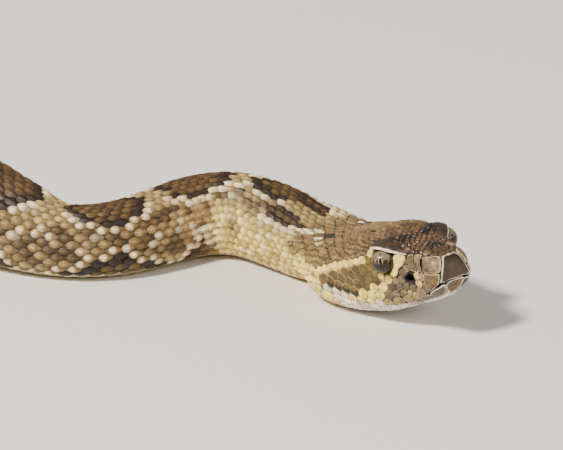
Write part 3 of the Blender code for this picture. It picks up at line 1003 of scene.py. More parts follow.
# %% [markdown]
# ## Belly plates
# Under the body the small scales give way to one wide, smooth plate for each cross row, which
# grips the ground.  The same template serves: a belly plate is only a very wide, low scale
# without a keel, whose ends turn up at the sides where they can be seen.


# %% Growing the belly plates
FIRST_PLATE = 46.5 * MM
PLATE_STATIONS = (0.0, 0.35, 0.7, 0.92, 1.0)      # front to back
PLATE_POINTS = 25                                 # from end to end
PLATE_HALF = BELLY_COLUMNS / 2 + 2.2              # in columns of the skin
PLATE_EDGE_DOWN = 0.22 * MM


def grow_belly():
    """One wide plate for each cross row, from the throat to the end of the tail."""
    stops = [FIRST_PLATE]
    while stops[-1] < TAIL_END - 1.5 * MM:
        stops.append(stops[-1] + float(scale_pitch(stops[-1])))
    s = np.array(stops)
    u, v = np.meshgrid(PLATE_STATIONS, np.linspace(-1, 1, PLATE_POINTS), indexing="ij")
    each = s[:, None, None]
    curl = 0.22 * np.abs(v) ** 4
    along = each + (u - curl - 0.2) * scale_pitch(each) * 1.18
    column = np.broadcast_to(BACK_COLUMNS + BELLY_COLUMNS / 2 + v * PLATE_HALF, along.shape)
    place, normal = on_skin(along, column)
    height = (0.04 + 0.20 * u ** 0.8) * MM * (1 - 0.5 * np.abs(v) ** 6)
    height[-1] = height[-2] - PLATE_EDGE_DOWN
    points = place + normal * height[..., None]
    points[..., 2] = np.maximum(points[..., 2], LAID_ABOVE_FLOOR)
    mottle = chance.random((len(s), 1, PLATE_POINTS, 1))
    at_end, back = np.abs(v)[..., None] ** 5, smooth((u[..., None] - 0.85) / 0.15)
    tone = BELLY_TONE * (0.86 + 0.14 * mottle) * (1 - 0.35 * at_end) * (1 - 0.3 * back)
    tone = np.where((at_end > 0.35) & (mottle < 0.35), tone * 0.6, tone)
    rings = tail_tone(s, ASH) * 0.9
    tone = np.where((s > VENT)[:, None, None, None], rings[:, None, None], tone)
    spots = unwrap(np.broadcast_to(each, column.shape), column)
    spots = spots + np.stack([PATCH / 2 * (2 * u - 1), 0 * v], -1)
    faces = copies(net(*u.shape, closed=False), len(s), u.size)
    piece = make_piece("belly_plates", points.reshape(-1, 3), faces, tone.reshape(-1, 3),
                       spots.reshape(-1, 2), BELLY_FINISH)


grow_belly()

# %% [markdown]
# ## Shields and small scales of the head
# The head wears two kinds of scale: large shields with names of their own round the nose, eyes
# and lips, and hundreds of small ones on the crown, temples and throat.  Drawing every outline
# by hand would take a long table.  Instead a seed is planted for each scale, and each seed's cell
# is the ground nearer to it than to its neighbours, as in a honeycomb.  Cells always meet without
# gaps or overlaps, whatever the surface does, and real scales press against each other alike.

# %% Touching the head from outside
NAPE_END = 1.32 * HEAD_LENGTH
NAPE_ROWS = int(np.searchsorted(RING_S, NAPE_END))
HEAD_GRID = PLAIN[:NAPE_ROWS].reshape(-1, 3)


def head_tree():
    """The plain head, without its holes, as a tree that rays can hit."""
    faces = net(NAPE_ROWS, COLUMNS).tolist() + ends(0, 0, COLUMNS)[:1]
    return BVHTree.FromPolygons(HEAD_GRID.tolist(), faces)


ROUND_AXIS = 0.16                # head lengths behind the snout
TREE = head_tree()
TO_FRONT, TO_LEFT, TO_TOP = (Vector(axis) for axis in (AHEAD, LEFT, UP))


def touch(chart, a, b, side=1):
    """Place and normal on the head, looking from the side, the front, above, below or round it.

    Round the snout, a is in degrees from straight ahead, seen from an upright axis behind it."""
    if chart == "round":
        turn = math.radians(a)
        start = from_head(ROUND_AXIS - 0.8 * math.cos(turn), side * 0.8 * math.sin(turn), b)
        way = Vector(from_head(ROUND_AXIS, 0, b) - start).normalized()
    else:
        start, way = {"side": ((a, side * 0.8, b), -side * TO_LEFT),
                      "front": ((-0.5, side * a, b), -TO_FRONT),
                      "top": ((a, side * b, 0.6), -TO_TOP),
                      "below": ((a, side * b, -0.7), TO_TOP)}[chart]
        start = from_head(*start)
    place, normal = TREE.ray_cast(Vector(start), way)[:2]
    return None if place is None else (place, normal)


def half_ring(t, middle, side):
    """Distance of the ring at t from the snout, its points from a column half way round, and run."""
    ring = int(np.searchsorted(RING_S, t * HEAD_LENGTH))
    line = PLAIN[ring, (middle + side * np.arange(COLUMNS // 2 + 1)) % COLUMNS]
    return RING_S[ring], line, run_along(line)


def beside_mouth(t, out, side):
    """Place and normal at a distance over the skin from the mouth line: up if positive."""
    s, line, run = half_ring(t, MIDBACK, side)
    at = np.interp(-mouth_height(t), -to_head(line)[2], run)
    where = np.interp(at - out * HEAD_LENGTH, run, np.arange(len(run)))
    place, normal = on_skin(np.array([s]), np.array([MIDBACK + side * where]))
    return place[0], normal[0]


def settle_on_skin(point, normal, reach=5 * MM):
    """The skin under a point that floats near it, and its normal."""
    hit = TREE.ray_cast(point + normal * reach, -normal, 2 * reach)
    return (TREE.find_nearest(point) if hit[0] is None else hit)[:2]


print("head tree ready")


# %% Named shields: how each is seen, and its outline in head lengths
SHIELDS = {
    "rostral": ("front", ((0, .020), (.036, .020), (.053, -.004), (.069, -.038), (.083, -.080),
                          (.090, -.107), (.064, -.100), (.034, -.096), (0, -.098))),
    "mental": ("front", ((0, -.102), (.034, -.102), (.048, -.108), (.047, -.132), (.034, -.152),
                         (.016, -.168), (0, -.172))),
    "prenasal": ("round", ((20, .016), (38, .022), (56, .022), (64, .018), (61, .004), (60, -.025),
                           (65, -.038), (63, -.049), (44, -.051), (26, -.047), (22.5, -.016))),
    "labial_1": ("round", ((28, -.054), (45, -.056), (60, -.055), (65, -.076), (64, -.104),
                           (59, -.132), (52, -.144), (44, -.132), (38, -.118), (33, -.106),
                           (30, -.080))),
    "lower_1": ("round", ((22, -.112), (32, -.120), (41, -.132), (49, -.146), (57, -.158),
                          (62, -.182), (50, -.186), (36, -.178), (22, -.160))),
    "postnasal": ("side", ((.112, .030), (.134, .032), (.155, .030), (.160, .006), (.158, -.022),
                           (.151, -.052), (.132, -.051), (.113, -.049), (.119, -.034), (.122, -.010),
                           (.119, .014))),
    "loreal": ("side", ((.163, .030), (.180, .031), (.198, .026), (.204, -.008), (.202, -.044),
                        (.180, -.054), (.158, -.054), (.165, -.024), (.167, .006))),
    "preocular": ("side", ((.212, .022), (.250, .034), (.270, .012), (.276, -.034), (.288, -.066),
                           (.278, -.083), (.258, -.068), (.243, -.037), (.224, -.018))),
    "chin": ("below", ((.062, .006), (.070, .036), (.104, .058), (.170, .062), (.236, .050),
                       (.250, .008))),
}
ON_MIDLINE = ("rostral", "mental")
ON_JAW = ("mental", "chin", "lower_1")
print(len(SHIELDS), "named shields")


# %% Keeping seeds
def hold(lists, values):
    """Put one value at the end of each list."""
    for held, value in zip(lists, values):
        held.append(value)


class Scales:
    """A growing list of seeds: place, normal, radius, kind, and whether the seed may move."""

    def __init__(self):
        self.place, self.normal, self.radius, self.kind, self.free = [], [], [], [], []

    def plant(self, hit, radius, kind, free=False, room=0.0):
        """Add a seed, unless it has less than its share of room beside the others."""
        if hit is None:
            return
        place, normal = np.array(hit[0]), np.array(hit[1])
        radius *= HEAD_LENGTH
        if room and self.place:
            gap = np.linalg.norm(np.array(self.place) - place, axis=1)
            if np.any(gap < room * (np.array(self.radius) + radius)):
                return
        hold((self.place, self.normal, self.radius, self.kind, self.free),
             (place, normal, radius, kind, free))


print("seed list ready")


# %% Outlines, and axes on the skin
def round_outline(points, count=64):
    """A closed smooth line through a few points of a plane."""
    p = np.array(points, float)
    made = []
    for a, b, c, d in zip(np.roll(p, 1, 0), p, np.roll(p, -1, 0), np.roll(p, -2, 0)):
        for t in np.linspace(0, 1, max(2, count // len(p)), endpoint=False):
            made.append(0.5 * (2 * b + (c - a) * t + (2 * a - 5 * b + 4 * c - d) * t ** 2
                               + (3 * b - a - 3 * c + d) * t ** 3))
    return np.array(made)


def tangent_axes(normal):
    """Outward, and the axes in the skin's plane: x to the back, as scales lie, and y across."""
    normal = Vector(normal).normalized()
    x = (-TO_FRONT - normal * normal.dot(-TO_FRONT)).normalized()
    return normal, x, normal.cross(x)


BROW = (                         # head lengths: distance, inner edge, outer edge and its height
    (0.206, 0.106, 0.118, 0.027), (0.222, 0.105, 0.136, 0.033), (0.240, 0.106, 0.155, 0.041),
    (0.266, 0.108, 0.180, 0.052), (0.310, 0.112, 0.203, 0.066), (0.350, 0.119, 0.207, 0.066),
    (0.390, 0.134, 0.203, 0.059), (0.420, 0.158, 0.182, 0.052),
)
BROW_ARCH, BROW_DEPTH, BROW_ROOT = 0.46 * MM, 0.40 * MM, 0.25 * MM


def brow_edges(t):
    """How far out the brow's inner and outer edges are at t, and how high the outer one is."""
    return tuple(float(follow(BROW, t, column)) for column in (1, 2, 3))


print(f"brows {(BROW[-1][0] - BROW[0][0]) * HEAD_LENGTH / MM:.1f} mm long")


# %% The head's own map
HEAD_MAP_HEIGHT = 60 * MM        # skin across the head that it holds


def on_map(share):
    """A place on a map, inside its thin empty edge."""
    return 0.02 + 0.96 * share


def head_spot(place):
    """Place on the head's own flat map of a place on its skin."""
    nearest = int(((HEAD_GRID - np.array(place)) ** 2).sum(1).argmin())
    s, column = RING_S[nearest // COLUMNS], nearest % COLUMNS
    around = (column + BELLY_COLUMNS // 2) % COLUMNS / COLUMNS
    return np.array((on_map(min(s / NAPE_END, 1)), on_map(around)))


def head_step(along, across):
    """A small step on the head's map: its patches are 0.7 as wide as the scales are."""
    return np.array((along * 0.7 / NAPE_END, across * 0.7 / HEAD_MAP_HEIGHT))


print(f"the head's map holds {NAPE_END / MM:.0f} x {HEAD_MAP_HEIGHT / MM:.0f} mm of skin")


# %% A domed plate of horn over part of the head
PLATE_RINGS = (                  # more points than this round it: sizes of its rings
    (30, (1.0, 0.97, 0.935, 0.89, 0.62, 0.32)), (16, (1.0, 0.95, 0.89, 0.62, 0.32)),
    (0, (1.0, 0.86, 0.50)),
)
SUNK_RING = 0.98                 # share of the reach at which a plate goes down into the skin
RIM_FROM = 0.90                  # share of the reach from which it has its rim's colour
KEEL_HALF = 0.30                 # half width of a keel, as a share of the plate's reach
KEEL_LIGHT_PAINT, TILT_LIGHT_PAINT = 3.2, 0.8     # painted light: how much lighter a plate is for each mm of keel and of tilt


class Heap:
    """Points, faces, colours and map places of many plates that become one piece."""

    def __init__(self):
        self.points, self.faces, self.tones, self.spots = [], [], [], []

    def add(self, point, tone, spot):
        """Add a point with its colour and its place on the map."""
        hold((self.points, self.tones, self.spots), (point, tone, spot))

    def add_plate(self, place, normal, reach, form, tones, stretch=1.0):
        """Lay one plate whose outline is given by its reach at even angles round its middle.

        form holds dome, edge, tilt and keel heights; tones its own colour, its rim's and the
        seam's, and may end with a function that shades a place inside the rim."""
        normal, x, y = tangent_axes(normal)
        count, start, mean = len(reach), len(self.points), float(np.mean(reach))
        shares = next(rings for fewest, rings in PLATE_RINGS if count > fewest)
        spot = head_spot(place)
        for share in (SUNK_RING,) + shares:
            for far, a in zip(reach, turns(count)):
                along, across = share * far * math.cos(a) * stretch, share * far * math.sin(a)
                ground, facing = settle_on_skin(place + x * along + y * across, normal)
                slant, ridge = along / mean / stretch, max(0.0, 1 - abs(across) / (KEEL_HALF * mean))
                height = -SKIRT_IN_SKIN
                if share != SUNK_RING:
                    height = form["edge"] * (0.55 if share == 1.0 else 1.0)
                    height += form["dome"] * (1 - share ** form["flat"])
                    height += form["tilt"] * slant * 0.5
                    height += form["keel"] * ridge * math.sqrt(1 - share ** 2 + 1e-9)
                tone = tones[2 if share in (SUNK_RING, 1.0) else 1 if share > RIM_FROM else 0]
                # painted highlight on the keel and toward the raised tip, painted shade toward the
                # sunk front
                paler = KEEL_LIGHT_PAINT * ridge * form["keel"] / MM + TILT_LIGHT_PAINT * slant * form["tilt"] / MM
                tone = tone * (1 + paler)
                if len(tones) > 3 and share < RIM_FROM:
                    tone = tone * tones[3](ground)
                self.add(ground + (facing + normal).normalized() * height, tone,
                         spot + head_step(along, across))
        ground, facing = settle_on_skin(place, normal)
        self.add(ground + facing * (form["edge"] + form["dome"] + form["keel"]),
                 tones[0] * (1 + KEEL_LIGHT_PAINT * form["keel"] / MM), spot)
        self.faces += (start + net(len(shares) + 1, count)).tolist()
        top = start + len(shares) * count
        self.faces += [(top + k, top + (k + 1) % count, top + count) for k in range(count)]

    def finish(self, name, finish, slot):
        """Make the piece."""
        piece = make_piece(name, self.points, self.faces, self.tones, self.spots, finish)


print("ready to make plates")


# %% The cell of ground that each seed owns
WIDEST_CELL, CORNERS = 2.1, 1.9      # seed radii: the farthest edge, and where corners are rounded
NARROWEST_CELL = 0.25


def crown_stretch(t):
    """How much longer than wide the small scales of the crown are."""
    return np.interp(t, (0.20, 0.45, 0.85), (1.0, 1.30, 1.65))


def squash(d, stretch):
    """Shorten steps along the head, so that long cells are measured as if they were round."""
    return d - (d @ AHEAD)[..., None] * (1 - 1 / np.asarray(stretch))[..., None] * AHEAD


def cell_reach(i, count, gap, stretch):
    """Reach of a settled seed's cell at even angles, cut back by its neighbours."""
    radius = RADIUS[i]
    crowd = np.linalg.norm(PLACE - PLACE[i], axis=1) < 5 * radius + 2 * MM
    crowd[i] = False
    d = squash(PLACE[crowd] - PLACE[i], stretch)
    far = np.linalg.norm(d, axis=1)
    flat = np.stack([d @ np.array(axis) for axis in tangent_axes(FACING[i])[1:]], 1)
    flat = flat / np.maximum(np.linalg.norm(flat, axis=1, keepdims=True), 1e-9)
    cut = np.where(TAKEN[crowd], far - RADIUS[crowd], far * radius / (radius + RADIUS[crowd]))
    cut = np.maximum(cut, radius * 0.3)
    facing = np.stack([np.cos(turns(count)), np.sin(turns(count))], 1) @ flat.T
    limits = np.where(facing > 0.05, cut / np.maximum(facing, 0.05), 9.0)
    reach = np.minimum(limits.min(1), radius * WIDEST_CELL)
    corner = radius * CORNERS
    reach = (reach ** -8.0 + corner ** -8.0) ** (-1 / 8)
    reach = (reach * 2 + np.roll(reach, 1) + np.roll(reach, -1)) / 4 if count > 16 else reach
    return np.maximum(reach - gap, radius * NARROWEST_CELL)


print("ready to measure cells")


# %% Planting the named shields and the space that they take
SHIELD_POINTS = 44


def shield_parts(chart, points, side, mirrored):
    """Middle, normal, axes in the skin's plane and reach of a shield."""
    points = [tuple(p) for p in points]
    if mirrored:
        points += [(-a, b) for a, b in points[-2:0:-1]]
    line = round_outline(points)
    hits = [touch(chart, a, b, side) for a, b in line]
    rim = np.array([h[0] for h in hits if h])
    place, normal = touch(chart, *np.mean(points, axis=0), side)
    normal, x, y = tangent_axes(normal)
    flat = np.stack([(rim - np.array(place)) @ np.array(axis) for axis in (x, y)], 1)
    angle = np.arctan2(flat[:, 1], flat[:, 0]) % (2 * math.pi)
    order = np.argsort(angle)
    reach = np.interp(turns(SHIELD_POINTS), angle[order], np.linalg.norm(flat, axis=1)[order],
                      period=2 * math.pi)
    return place, normal, x, y, reach


scales = Scales()
shields = []
for label, (chart, points) in SHIELDS.items():
    for side in (1,) if label in ON_MIDLINE else (1, -1):
        place, normal, x, y, reach = shield_parts(chart, points, side, label in ON_MIDLINE)
        shields.append((label, place, normal, reach))
        for far, a in list(zip(reach, turns(SHIELD_POINTS)))[::4]:
            inner = place + (x * math.cos(a) + y * math.sin(a)) * float(far * 0.62)
            scales.plant(settle_on_skin(inner, normal), far * 0.38 / HEAD_LENGTH, "taken")
print(len(shields), "shields planted")

# %% Planting the face: lips, snout, the ring round the eye, the stripe
LABIAL_START, LABIAL_STEP, LABIALS = 0.105, 0.0485, 13
EYE_RING = 0.083                 # head lengths from the eye's middle to its ring of scales
SNOUT_SEEDS = (                  # behind the snout, up, radius
    (0.112, -0.077, 0.020), (0.152, -0.076, 0.015), (0.146, -0.112, 0.018), (0.214, -0.036, 0.014),
    (0.214, -0.008, 0.010), (0.232, -0.062, 0.015), (0.248, -0.099, 0.018), (0.237, -0.132, 0.017),
    (0.200, -0.138, 0.017), (0.106, 0.036, 0.016), (0.138, 0.045, 0.015), (0.176, 0.043, 0.016),
    (0.268, -0.134, 0.018), (0.256, -0.166, 0.018), (0.222, -0.168, 0.016), (0.278, -0.103, 0.018),
    (0.309, -0.095, 0.019), (0.302, -0.131, 0.019), (0.294, -0.168, 0.018), (0.108, -0.114, 0.014),
)
SNOUT_TOP_SEEDS = (              # behind the snout, out, radius
    (0.044, 0.024, 0.024), (0.066, 0.060, 0.021), (0.092, 0.021, 0.023), (0.108, 0.062, 0.022),
    (0.142, 0.025, 0.021), (0.168, 0.082, 0.019), (0.150, 0.056, 0.017), (0.188, 0.052, 0.018),
)


def ring_of(at, size, count):
    """Places round an oval on the side of the head."""
    return [(at[0] + size[0] * math.cos(a), at[1] + size[1] * math.sin(a)) for a in turns(count)]


def plant_face(side):
    """Plant the face's seeds: first the space that pit, nostril and eye take."""
    pit = ring_of(PIT_AT, (0.35 * PIT_SIZE[0], 0.35 * PIT_SIZE[1]), 8)
    nostril = [(NOSTRIL_AT[0], z) for z in (-0.032, -0.011, 0.010)]
    eye = ring_of((EYE_AT[0], EYE_AT[2]), (0.044, 0.044), 12)
    for places, radius in ((pit, 0.0195), (nostril, 0.016), (eye, 0.020), ([EYE_AT[::2]], 0.024)):
        for t, z in places:
            scales.plant(touch("side", t, z, side), radius, "taken")
    for chart, seeds in (("side", SNOUT_SEEDS), ("top", SNOUT_TOP_SEEDS)):
        for a, b, radius in seeds:
            scales.plant(touch(chart, a, b, side), radius, "face")
    for t in LABIAL_START + LABIAL_STEP * np.arange(LABIALS):
        high = float(np.interp(t, (0.33, 0.42), (0.025, 0.0185)))
        scales.plant(beside_mouth(t, high, side), high, "lip")
        scales.plant(beside_mouth(t + 0.007, -0.026, side), 0.026, "lower_lip")
    for a in np.radians(range(-64, 246, 26)):
        t, z = EYE_AT[0] + EYE_RING * math.sin(a), -EYE_RING * math.cos(a)
        if z < 0.055:
            scales.plant(touch("side", t, z, side), 0.0165, "ring", room=0.75)
    stripe = np.array(UPPER_STRIPE[:8])
    lengths = run_along(stripe)
    for d in np.arange(0.012, lengths[-1], 0.036):
        t, z = (float(np.interp(d, lengths, stripe[:, c])) for c in (0, 1))
        scales.plant(touch("side", t, z, side), 0.0185, "stripe", room=0.7)


for side in (1, -1):
    plant_face(side)
print(len(scales.kind), "seeds on the face")

# %% Filling the temples, the crown and the throat
TEMPLE_STEP, TEMPLE_ROW = 0.047, 0.0385
ROW_STEP = 0.5 * 1.55            # from one staggered row to the next, in widths between columns
for side in (1, -1):
    for j in range(8):
        for i in range(14):
            t = 0.33 + TEMPLE_STEP * (i + 0.5 * (j % 2))
            z = float(mouth_height(t)) + 0.060 + TEMPLE_ROW * j
            if t < 0.765 and z < float(stripe_level(t)) - 0.016:
                scales.plant(touch("side", t, z, side), 0.0235, "temple", True, 0.72)


def fill_rows(kind, t_start, t_end, width_at, radius_at, wanted, middle):
    """Plant staggered rows of seeds over part of the head, wherever wanted says so."""
    t, odd = t_start, 0
    while t < t_end:
        width = width_at(t)
        for side in (1, -1):
            run = half_ring(t, middle, side)[2]
            for k in range(odd, 60, 2):
                if k * width > run[-1] or (k == 0 and side < 0):
                    continue
                at = max(k * width + chance.normal(0, 0.16) * width, 0.0)
                column = middle + side * float(np.interp(at, run, np.arange(len(run))))
                place, normal = on_skin(np.array([t * HEAD_LENGTH + chance.normal(0, 0.10) * width]),
                                        np.array([column]))
                if wanted(*(float(v[0]) for v in to_head(place)), float(normal[0] @ UP)):
                    radius = radius_at(t) * (0.88 + 0.26 * chance.random()) / HEAD_LENGTH
                    scales.plant((place[0], normal[0]), radius, kind, True, 0.66)
        t += ROW_STEP * width / HEAD_LENGTH * (crown_stretch(t) if kind == "crown" else 1.0)
        odd = 1 - odd


def on_crown(t, y, z, facing):
    """Crown, nape and the sides behind the jaw angle, above the stripe and inside the brows."""
    if t < 0.13:
        return z > 0.03 and facing > 0
    if t < 0.40:
        return z > 0.035 and abs(y) < brow_edges(t)[0] + 0.004
    if t < 0.76:
        return z > float(stripe_level(t)) + 0.018
    return z > float(mouth_height(t)) - 0.01


def crown_width(t):
    """Distance between rows of crown scales."""
    return read(((0.1, 0.80), (0.3, 0.76), (0.6, 0.92), (0.85, 1.20), (1.1, 1.50)), t) * MM


def on_throat(t, y, z, facing):
    """Throat and chin, under the lower lips."""
    under = float(mouth_height(t)) - z
    return under > 0.01 if t > 0.78 else under > 0.045 or facing < -0.75


fill_rows("crown", 0.10, 1.115, crown_width, lambda t: crown_width(t) * 0.62, on_crown, MIDBACK)
fill_rows("throat", 0.09, 1.17, lambda t: read(((0.1, 1.0), (0.5, 1.3)), t) * MM,
          lambda t: read(((0.1, 0.72), (0.5, 0.90)), t) * MM, on_throat,
          BACK_COLUMNS + BELLY_COLUMNS // 2)
print(len(scales.kind), "seeds on the head")


# %% Letting the small scales push each other into even places
PUSH = 0.30                      # share of an overlap that one round takes away


def relax(rounds=14):
    """Move the free seeds away from crowded neighbours, over the skin."""
    place, normal = np.array(scales.place), np.array(scales.normal)
    radius, free = np.array(scales.radius), np.array(scales.free)
    on_top = np.array([kind == "crown" for kind in scales.kind])
    stretch = np.where(on_top, crown_stretch(to_head(place)[0]), 1.0)
    for _ in range(rounds):
        d = squash(place[:, None] - place[None], np.broadcast_to(stretch[:, None], (len(place),) * 2))
        far = np.linalg.norm(d, axis=2)
        np.fill_diagonal(far, 1.0)
        overlap = np.clip(radius[:, None] + radius[None] - far, 0, None)
        push = (d / far[..., None] * overlap[..., None]).sum(1) * PUSH
        place = place + push * free[:, None]
        for i in np.nonzero(free)[0]:
            place[i], normal[i] = TREE.find_nearest(Vector(place[i]))[:2]
    return place, normal, radius


PLACE, FACING, RADIUS = relax()
TAKEN = np.array([kind == "taken" for kind in scales.kind])
print("seeds settled")

# %% Growing the plates of the head from their seeds
FORMS = {                # dome, edge, tilt, keel and groove in mm; flatness; points round the plate
    "face": (0.14, 0.13, 0.00, 0.00, 0.045, 3.0, 24), "lip": (0.18, 0.12, 0.02, 0.00, 0.030, 3.0, 24),
    "lower_lip": (0.18, 0.10, 0.02, 0.00, 0.030, 3.0, 24),
    "ring": (0.16, 0.12, 0.00, 0.00, 0.040, 2.6, 20),
    "stripe": (0.22, 0.10, 0.08, 0.06, 0.030, 2.2, 20),
    "temple": (0.16, 0.11, 0.08, 0.03, 0.030, 2.8, 24),
    "crown": (0.11, 0.07, 0.19, 0.16, 0.030, 2.2, 14),
    "throat": (0.12, 0.07, 0.08, 0.00, 0.035, 2.4, 16),
    "shield": (0.16, 0.15, 0.00, 0.00, 0.020, 4.0, SHIELD_POINTS),
}


def form_of(kind):
    """Sizes of one kind of plate, its flatness and its number of points."""
    *sizes, flat, points = FORMS[kind]
    names = ("dome", "edge", "tilt", "keel", "groove")
    return dict(zip(names, (size * MM for size in sizes)), flat=flat, points=points)


def grow_head():
    """Plates over the upper head in one piece, and over the lower jaw and throat in another."""
    upper, lower = Heap(), Heap()
    form = form_of("shield")
    for label, place, normal, reach in shields:
        heap = lower if label in ON_JAW else upper
        heap.add_plate(place, normal, reach - form["groove"], form, SHIELD_TONES[label])
    for i, kind in enumerate(scales.kind):
        if kind == "taken":
            continue
        form = form_of(kind)
        t, y, z = (float(v) for v in to_head(PLACE[i]))
        stretch = float(crown_stretch(t)) if kind == "crown" else 1.0
        reach = cell_reach(i, form["points"], form["groove"], stretch)
        tones = head_tone(t, y, z, chance.random())
        if kind == "temple" and 0.47 < t < 0.68 and off_line(LOWER_STRIPE, t, z) > 0.03:
            tones += (temple_foot,)
        heap = lower if z < float(mouth_height(t)) and (t < 0.80 or kind == "throat") else upper
        heap.add_plate(Vector(PLACE[i]), FACING[i], reach, form, tones, stretch)
    upper.finish("head_scales", SHIELD_FINISH, "head_skin")
    lower.finish("jaw_scales", SHIELD_FINISH, "jaw_skin")


def temple_foot(place):
    """The lowest temple plates end in black triangles over the pale lip."""
    t, _, z = to_head(place)
    return 0.10 if z < mouth_height(t) + 0.058 else 1.0


def rostral_shade(place):
    """The nose shield is darkest along its top."""
    return 0.42 + 0.70 * float(smooth((0.015 - to_head(place)[2]) / 0.08))


def snout_shade(place):
    """The shields beside the nose are clouded with darker and paler patches."""
    return max(0.35, 0.92 + 0.60 * patch(*to_head(place), 0.024))


SHIELD_TONES = {                 # a shield's own colour, its rim's, the seam's round it, and a shade
    "rostral": (ROSTRAL_IN_PAINTED_SHADE, WHITE * 0.80, SNOUT_RIM * 0.6, rostral_shade),
    "mental": (LIP_BROWN, WHITE, WHITE * 0.7),
    "prenasal": (NASAL, SNOUT_RIM, SEAM, snout_shade),
    "postnasal": (NASAL * 1.1, SNOUT_RIM, SEAM, snout_shade),
    "loreal": (NASAL * 0.72, SNOUT_RIM * 0.8, SEAM, snout_shade),
    "preocular": (YELLOW * 1.05, YELLOW * 0.85, YELLOW * 0.3),
    "labial_1": (LIP_BROWN * 1.1, SNOUT_RIM * 1.1, SNOUT_RIM * 0.6, snout_shade),
    "lower_1": (LIP_BROWN * 0.9, WHITE, WHITE * 0.6),
    "chin": (WHITE * 0.92, WHITE * 0.75, WHITE * 0.5),
}
grow_head()

# %% [markdown]
# ## The brows
# Over each eye a long shield stands out like the peak of a cap, and gives a rattlesnake its
# frown.  It is too thick to be one more plate on the skin, so it is a lens: a flat ball whose
# upper side is arched, whose lower side is nearly level, and whose outer edge is thick and pale.

# %% Shaping a brow
BROW_RINGS, BROW_POINTS = 44, 36
FACING_OUT = (0, 3, 2, 1)        # order of corners where rings run front to back or pole to pole


def signed_power(x, power):
    """A power that keeps the sign of x."""
    return math.copysign(abs(x) ** power, x)


def build_brow(name, side):
    """One brow shield: side is 1 on the left and -1 on the right."""
    points, tones = [], []
    front, back = BROW[0][0], BROW[-1][0]
    for i in range(BROW_RINGS + 1):
        u = -math.cos(math.pi * i / BROW_RINGS)
        t = (front + back) / 2 + u * (back - front) / 2
        inner, outer, rise = brow_edges(t)
        root = touch("top", t, inner, side)[0] - TO_TOP * BROW_ROOT
        lip = Vector(from_head(t, side * outer, rise))
        middle, half = (root + lip) / 2, (lip - root) / 2
        plump = max(1 - abs(u) ** 3.0, 0.0) ** 0.5
        for a in turns(BROW_POINTS):
            across, high = signed_power(math.cos(a), 0.60), signed_power(math.sin(a), 0.9)
            wrinkle = 0.30 * noise.noise(Vector((u * 4, across * 2, side * 3.0)))
            height = high * (BROW_ARCH * (1 + wrinkle) if high > 0 else BROW_DEPTH) * plump
            points.append(middle + half * across + TO_TOP * height)
            edge = smooth((across - 0.84) / 0.10) * smooth((0.80 - high) / 0.25)
            streak = 0.95 + 0.8 * noise.noise(Vector((u * 3, across * 7, 3.1 * side)))
            tones.append(between(BROW_TONE * streak, BROW_EDGE, edge))
    faces = net(BROW_RINGS + 1, BROW_POINTS, FACING_OUT[::side])
    shares = np.indices((BROW_RINGS + 1, BROW_POINTS)).reshape(2, -1).T
    spots = on_map(shares / (BROW_RINGS, BROW_POINTS))
    piece = make_piece(name, points, faces, tones, spots, SHIELD_FINISH)


for name, side in (("brow_left", 1), ("brow_right", -1)):
    build_brow(name, side)

# %% [markdown]
# ## The eyes
# A snake has no lids: a clear scale covers the eye, so it always shines.  The pupil is an upright
# slit.  The eye could be a glass shell over a painted ball, but a shell needs light to pass it
# and shows nothing more at this size.  One ball with a painted iris under a glossy coat keeps
# both the pattern and the highlight.

# %% Painting and placing the eyes
GAZE = (0.66, 0.71, 0.24)        # ahead, out and up
EYE_RINGS, EYE_POINTS = 72, 96
# the upper iris is paler: partly its own grey, partly a painted reflection of the sky
IRIS_TOP_WITH_PAINTED_SKY, IRIS_LOW = mix(126, 112, 84), mix(40, 27, 15)
PUPIL, PUPIL_RIM = mix(5, 4, 4), mix(196, 168, 132)


def iris_tone(high, across, turn):
    """Colour of the eye at a height and a distance across, both in eye radii."""
    mottle = noise.noise(Vector((across * 6, high * 6, turn)))
    mottle += 0.7 * noise.noise(Vector((across * 16, high * 13, turn)))
    # paler above: a painted reflection of the sky over the iris's own grey
    level = smooth((high + 0.05 + 0.30 * mottle) / 0.45)
    tone = between(IRIS_LOW, IRIS_TOP_WITH_PAINTED_SKY, level) * (1 + 0.85 * mottle)
    slit = abs(across) / (0.115 * max(1 - abs(high) / 0.70, 0.02) ** 0.5)
    halo = smooth((2.1 - slit) / 0.7) * smooth((high + 0.30) / 0.3) * smooth((0.66 - abs(high)) / 0.1)
    tone = between(tone, PUPIL_RIM, 0.5 * halo)
    # darker toward the edge: the eye's own dark outline with painted shade of the socket over it
    tone = tone * (1 - 0.85 * smooth((math.hypot(across, high) - 0.72) / 0.2))
    return np.clip(between(tone, PUPIL, smooth((1.15 - slit) / 0.3) * (abs(high) < 0.69)), 0, 1)


def eye_finish():
    """A painted ball under a clear wet coat."""
    made, tree, shader = new_finish("eye_glass", {
        "Roughness": 0.30, "IOR": 1.40, "Specular IOR Level": 0.2,
        "Coat Weight": 0.6, "Coat Roughness": 0.03})
    tree.links.new(stored_colour(tree), shader.inputs["Base Color"])
    return made


EYE_FINISH = eye_finish()


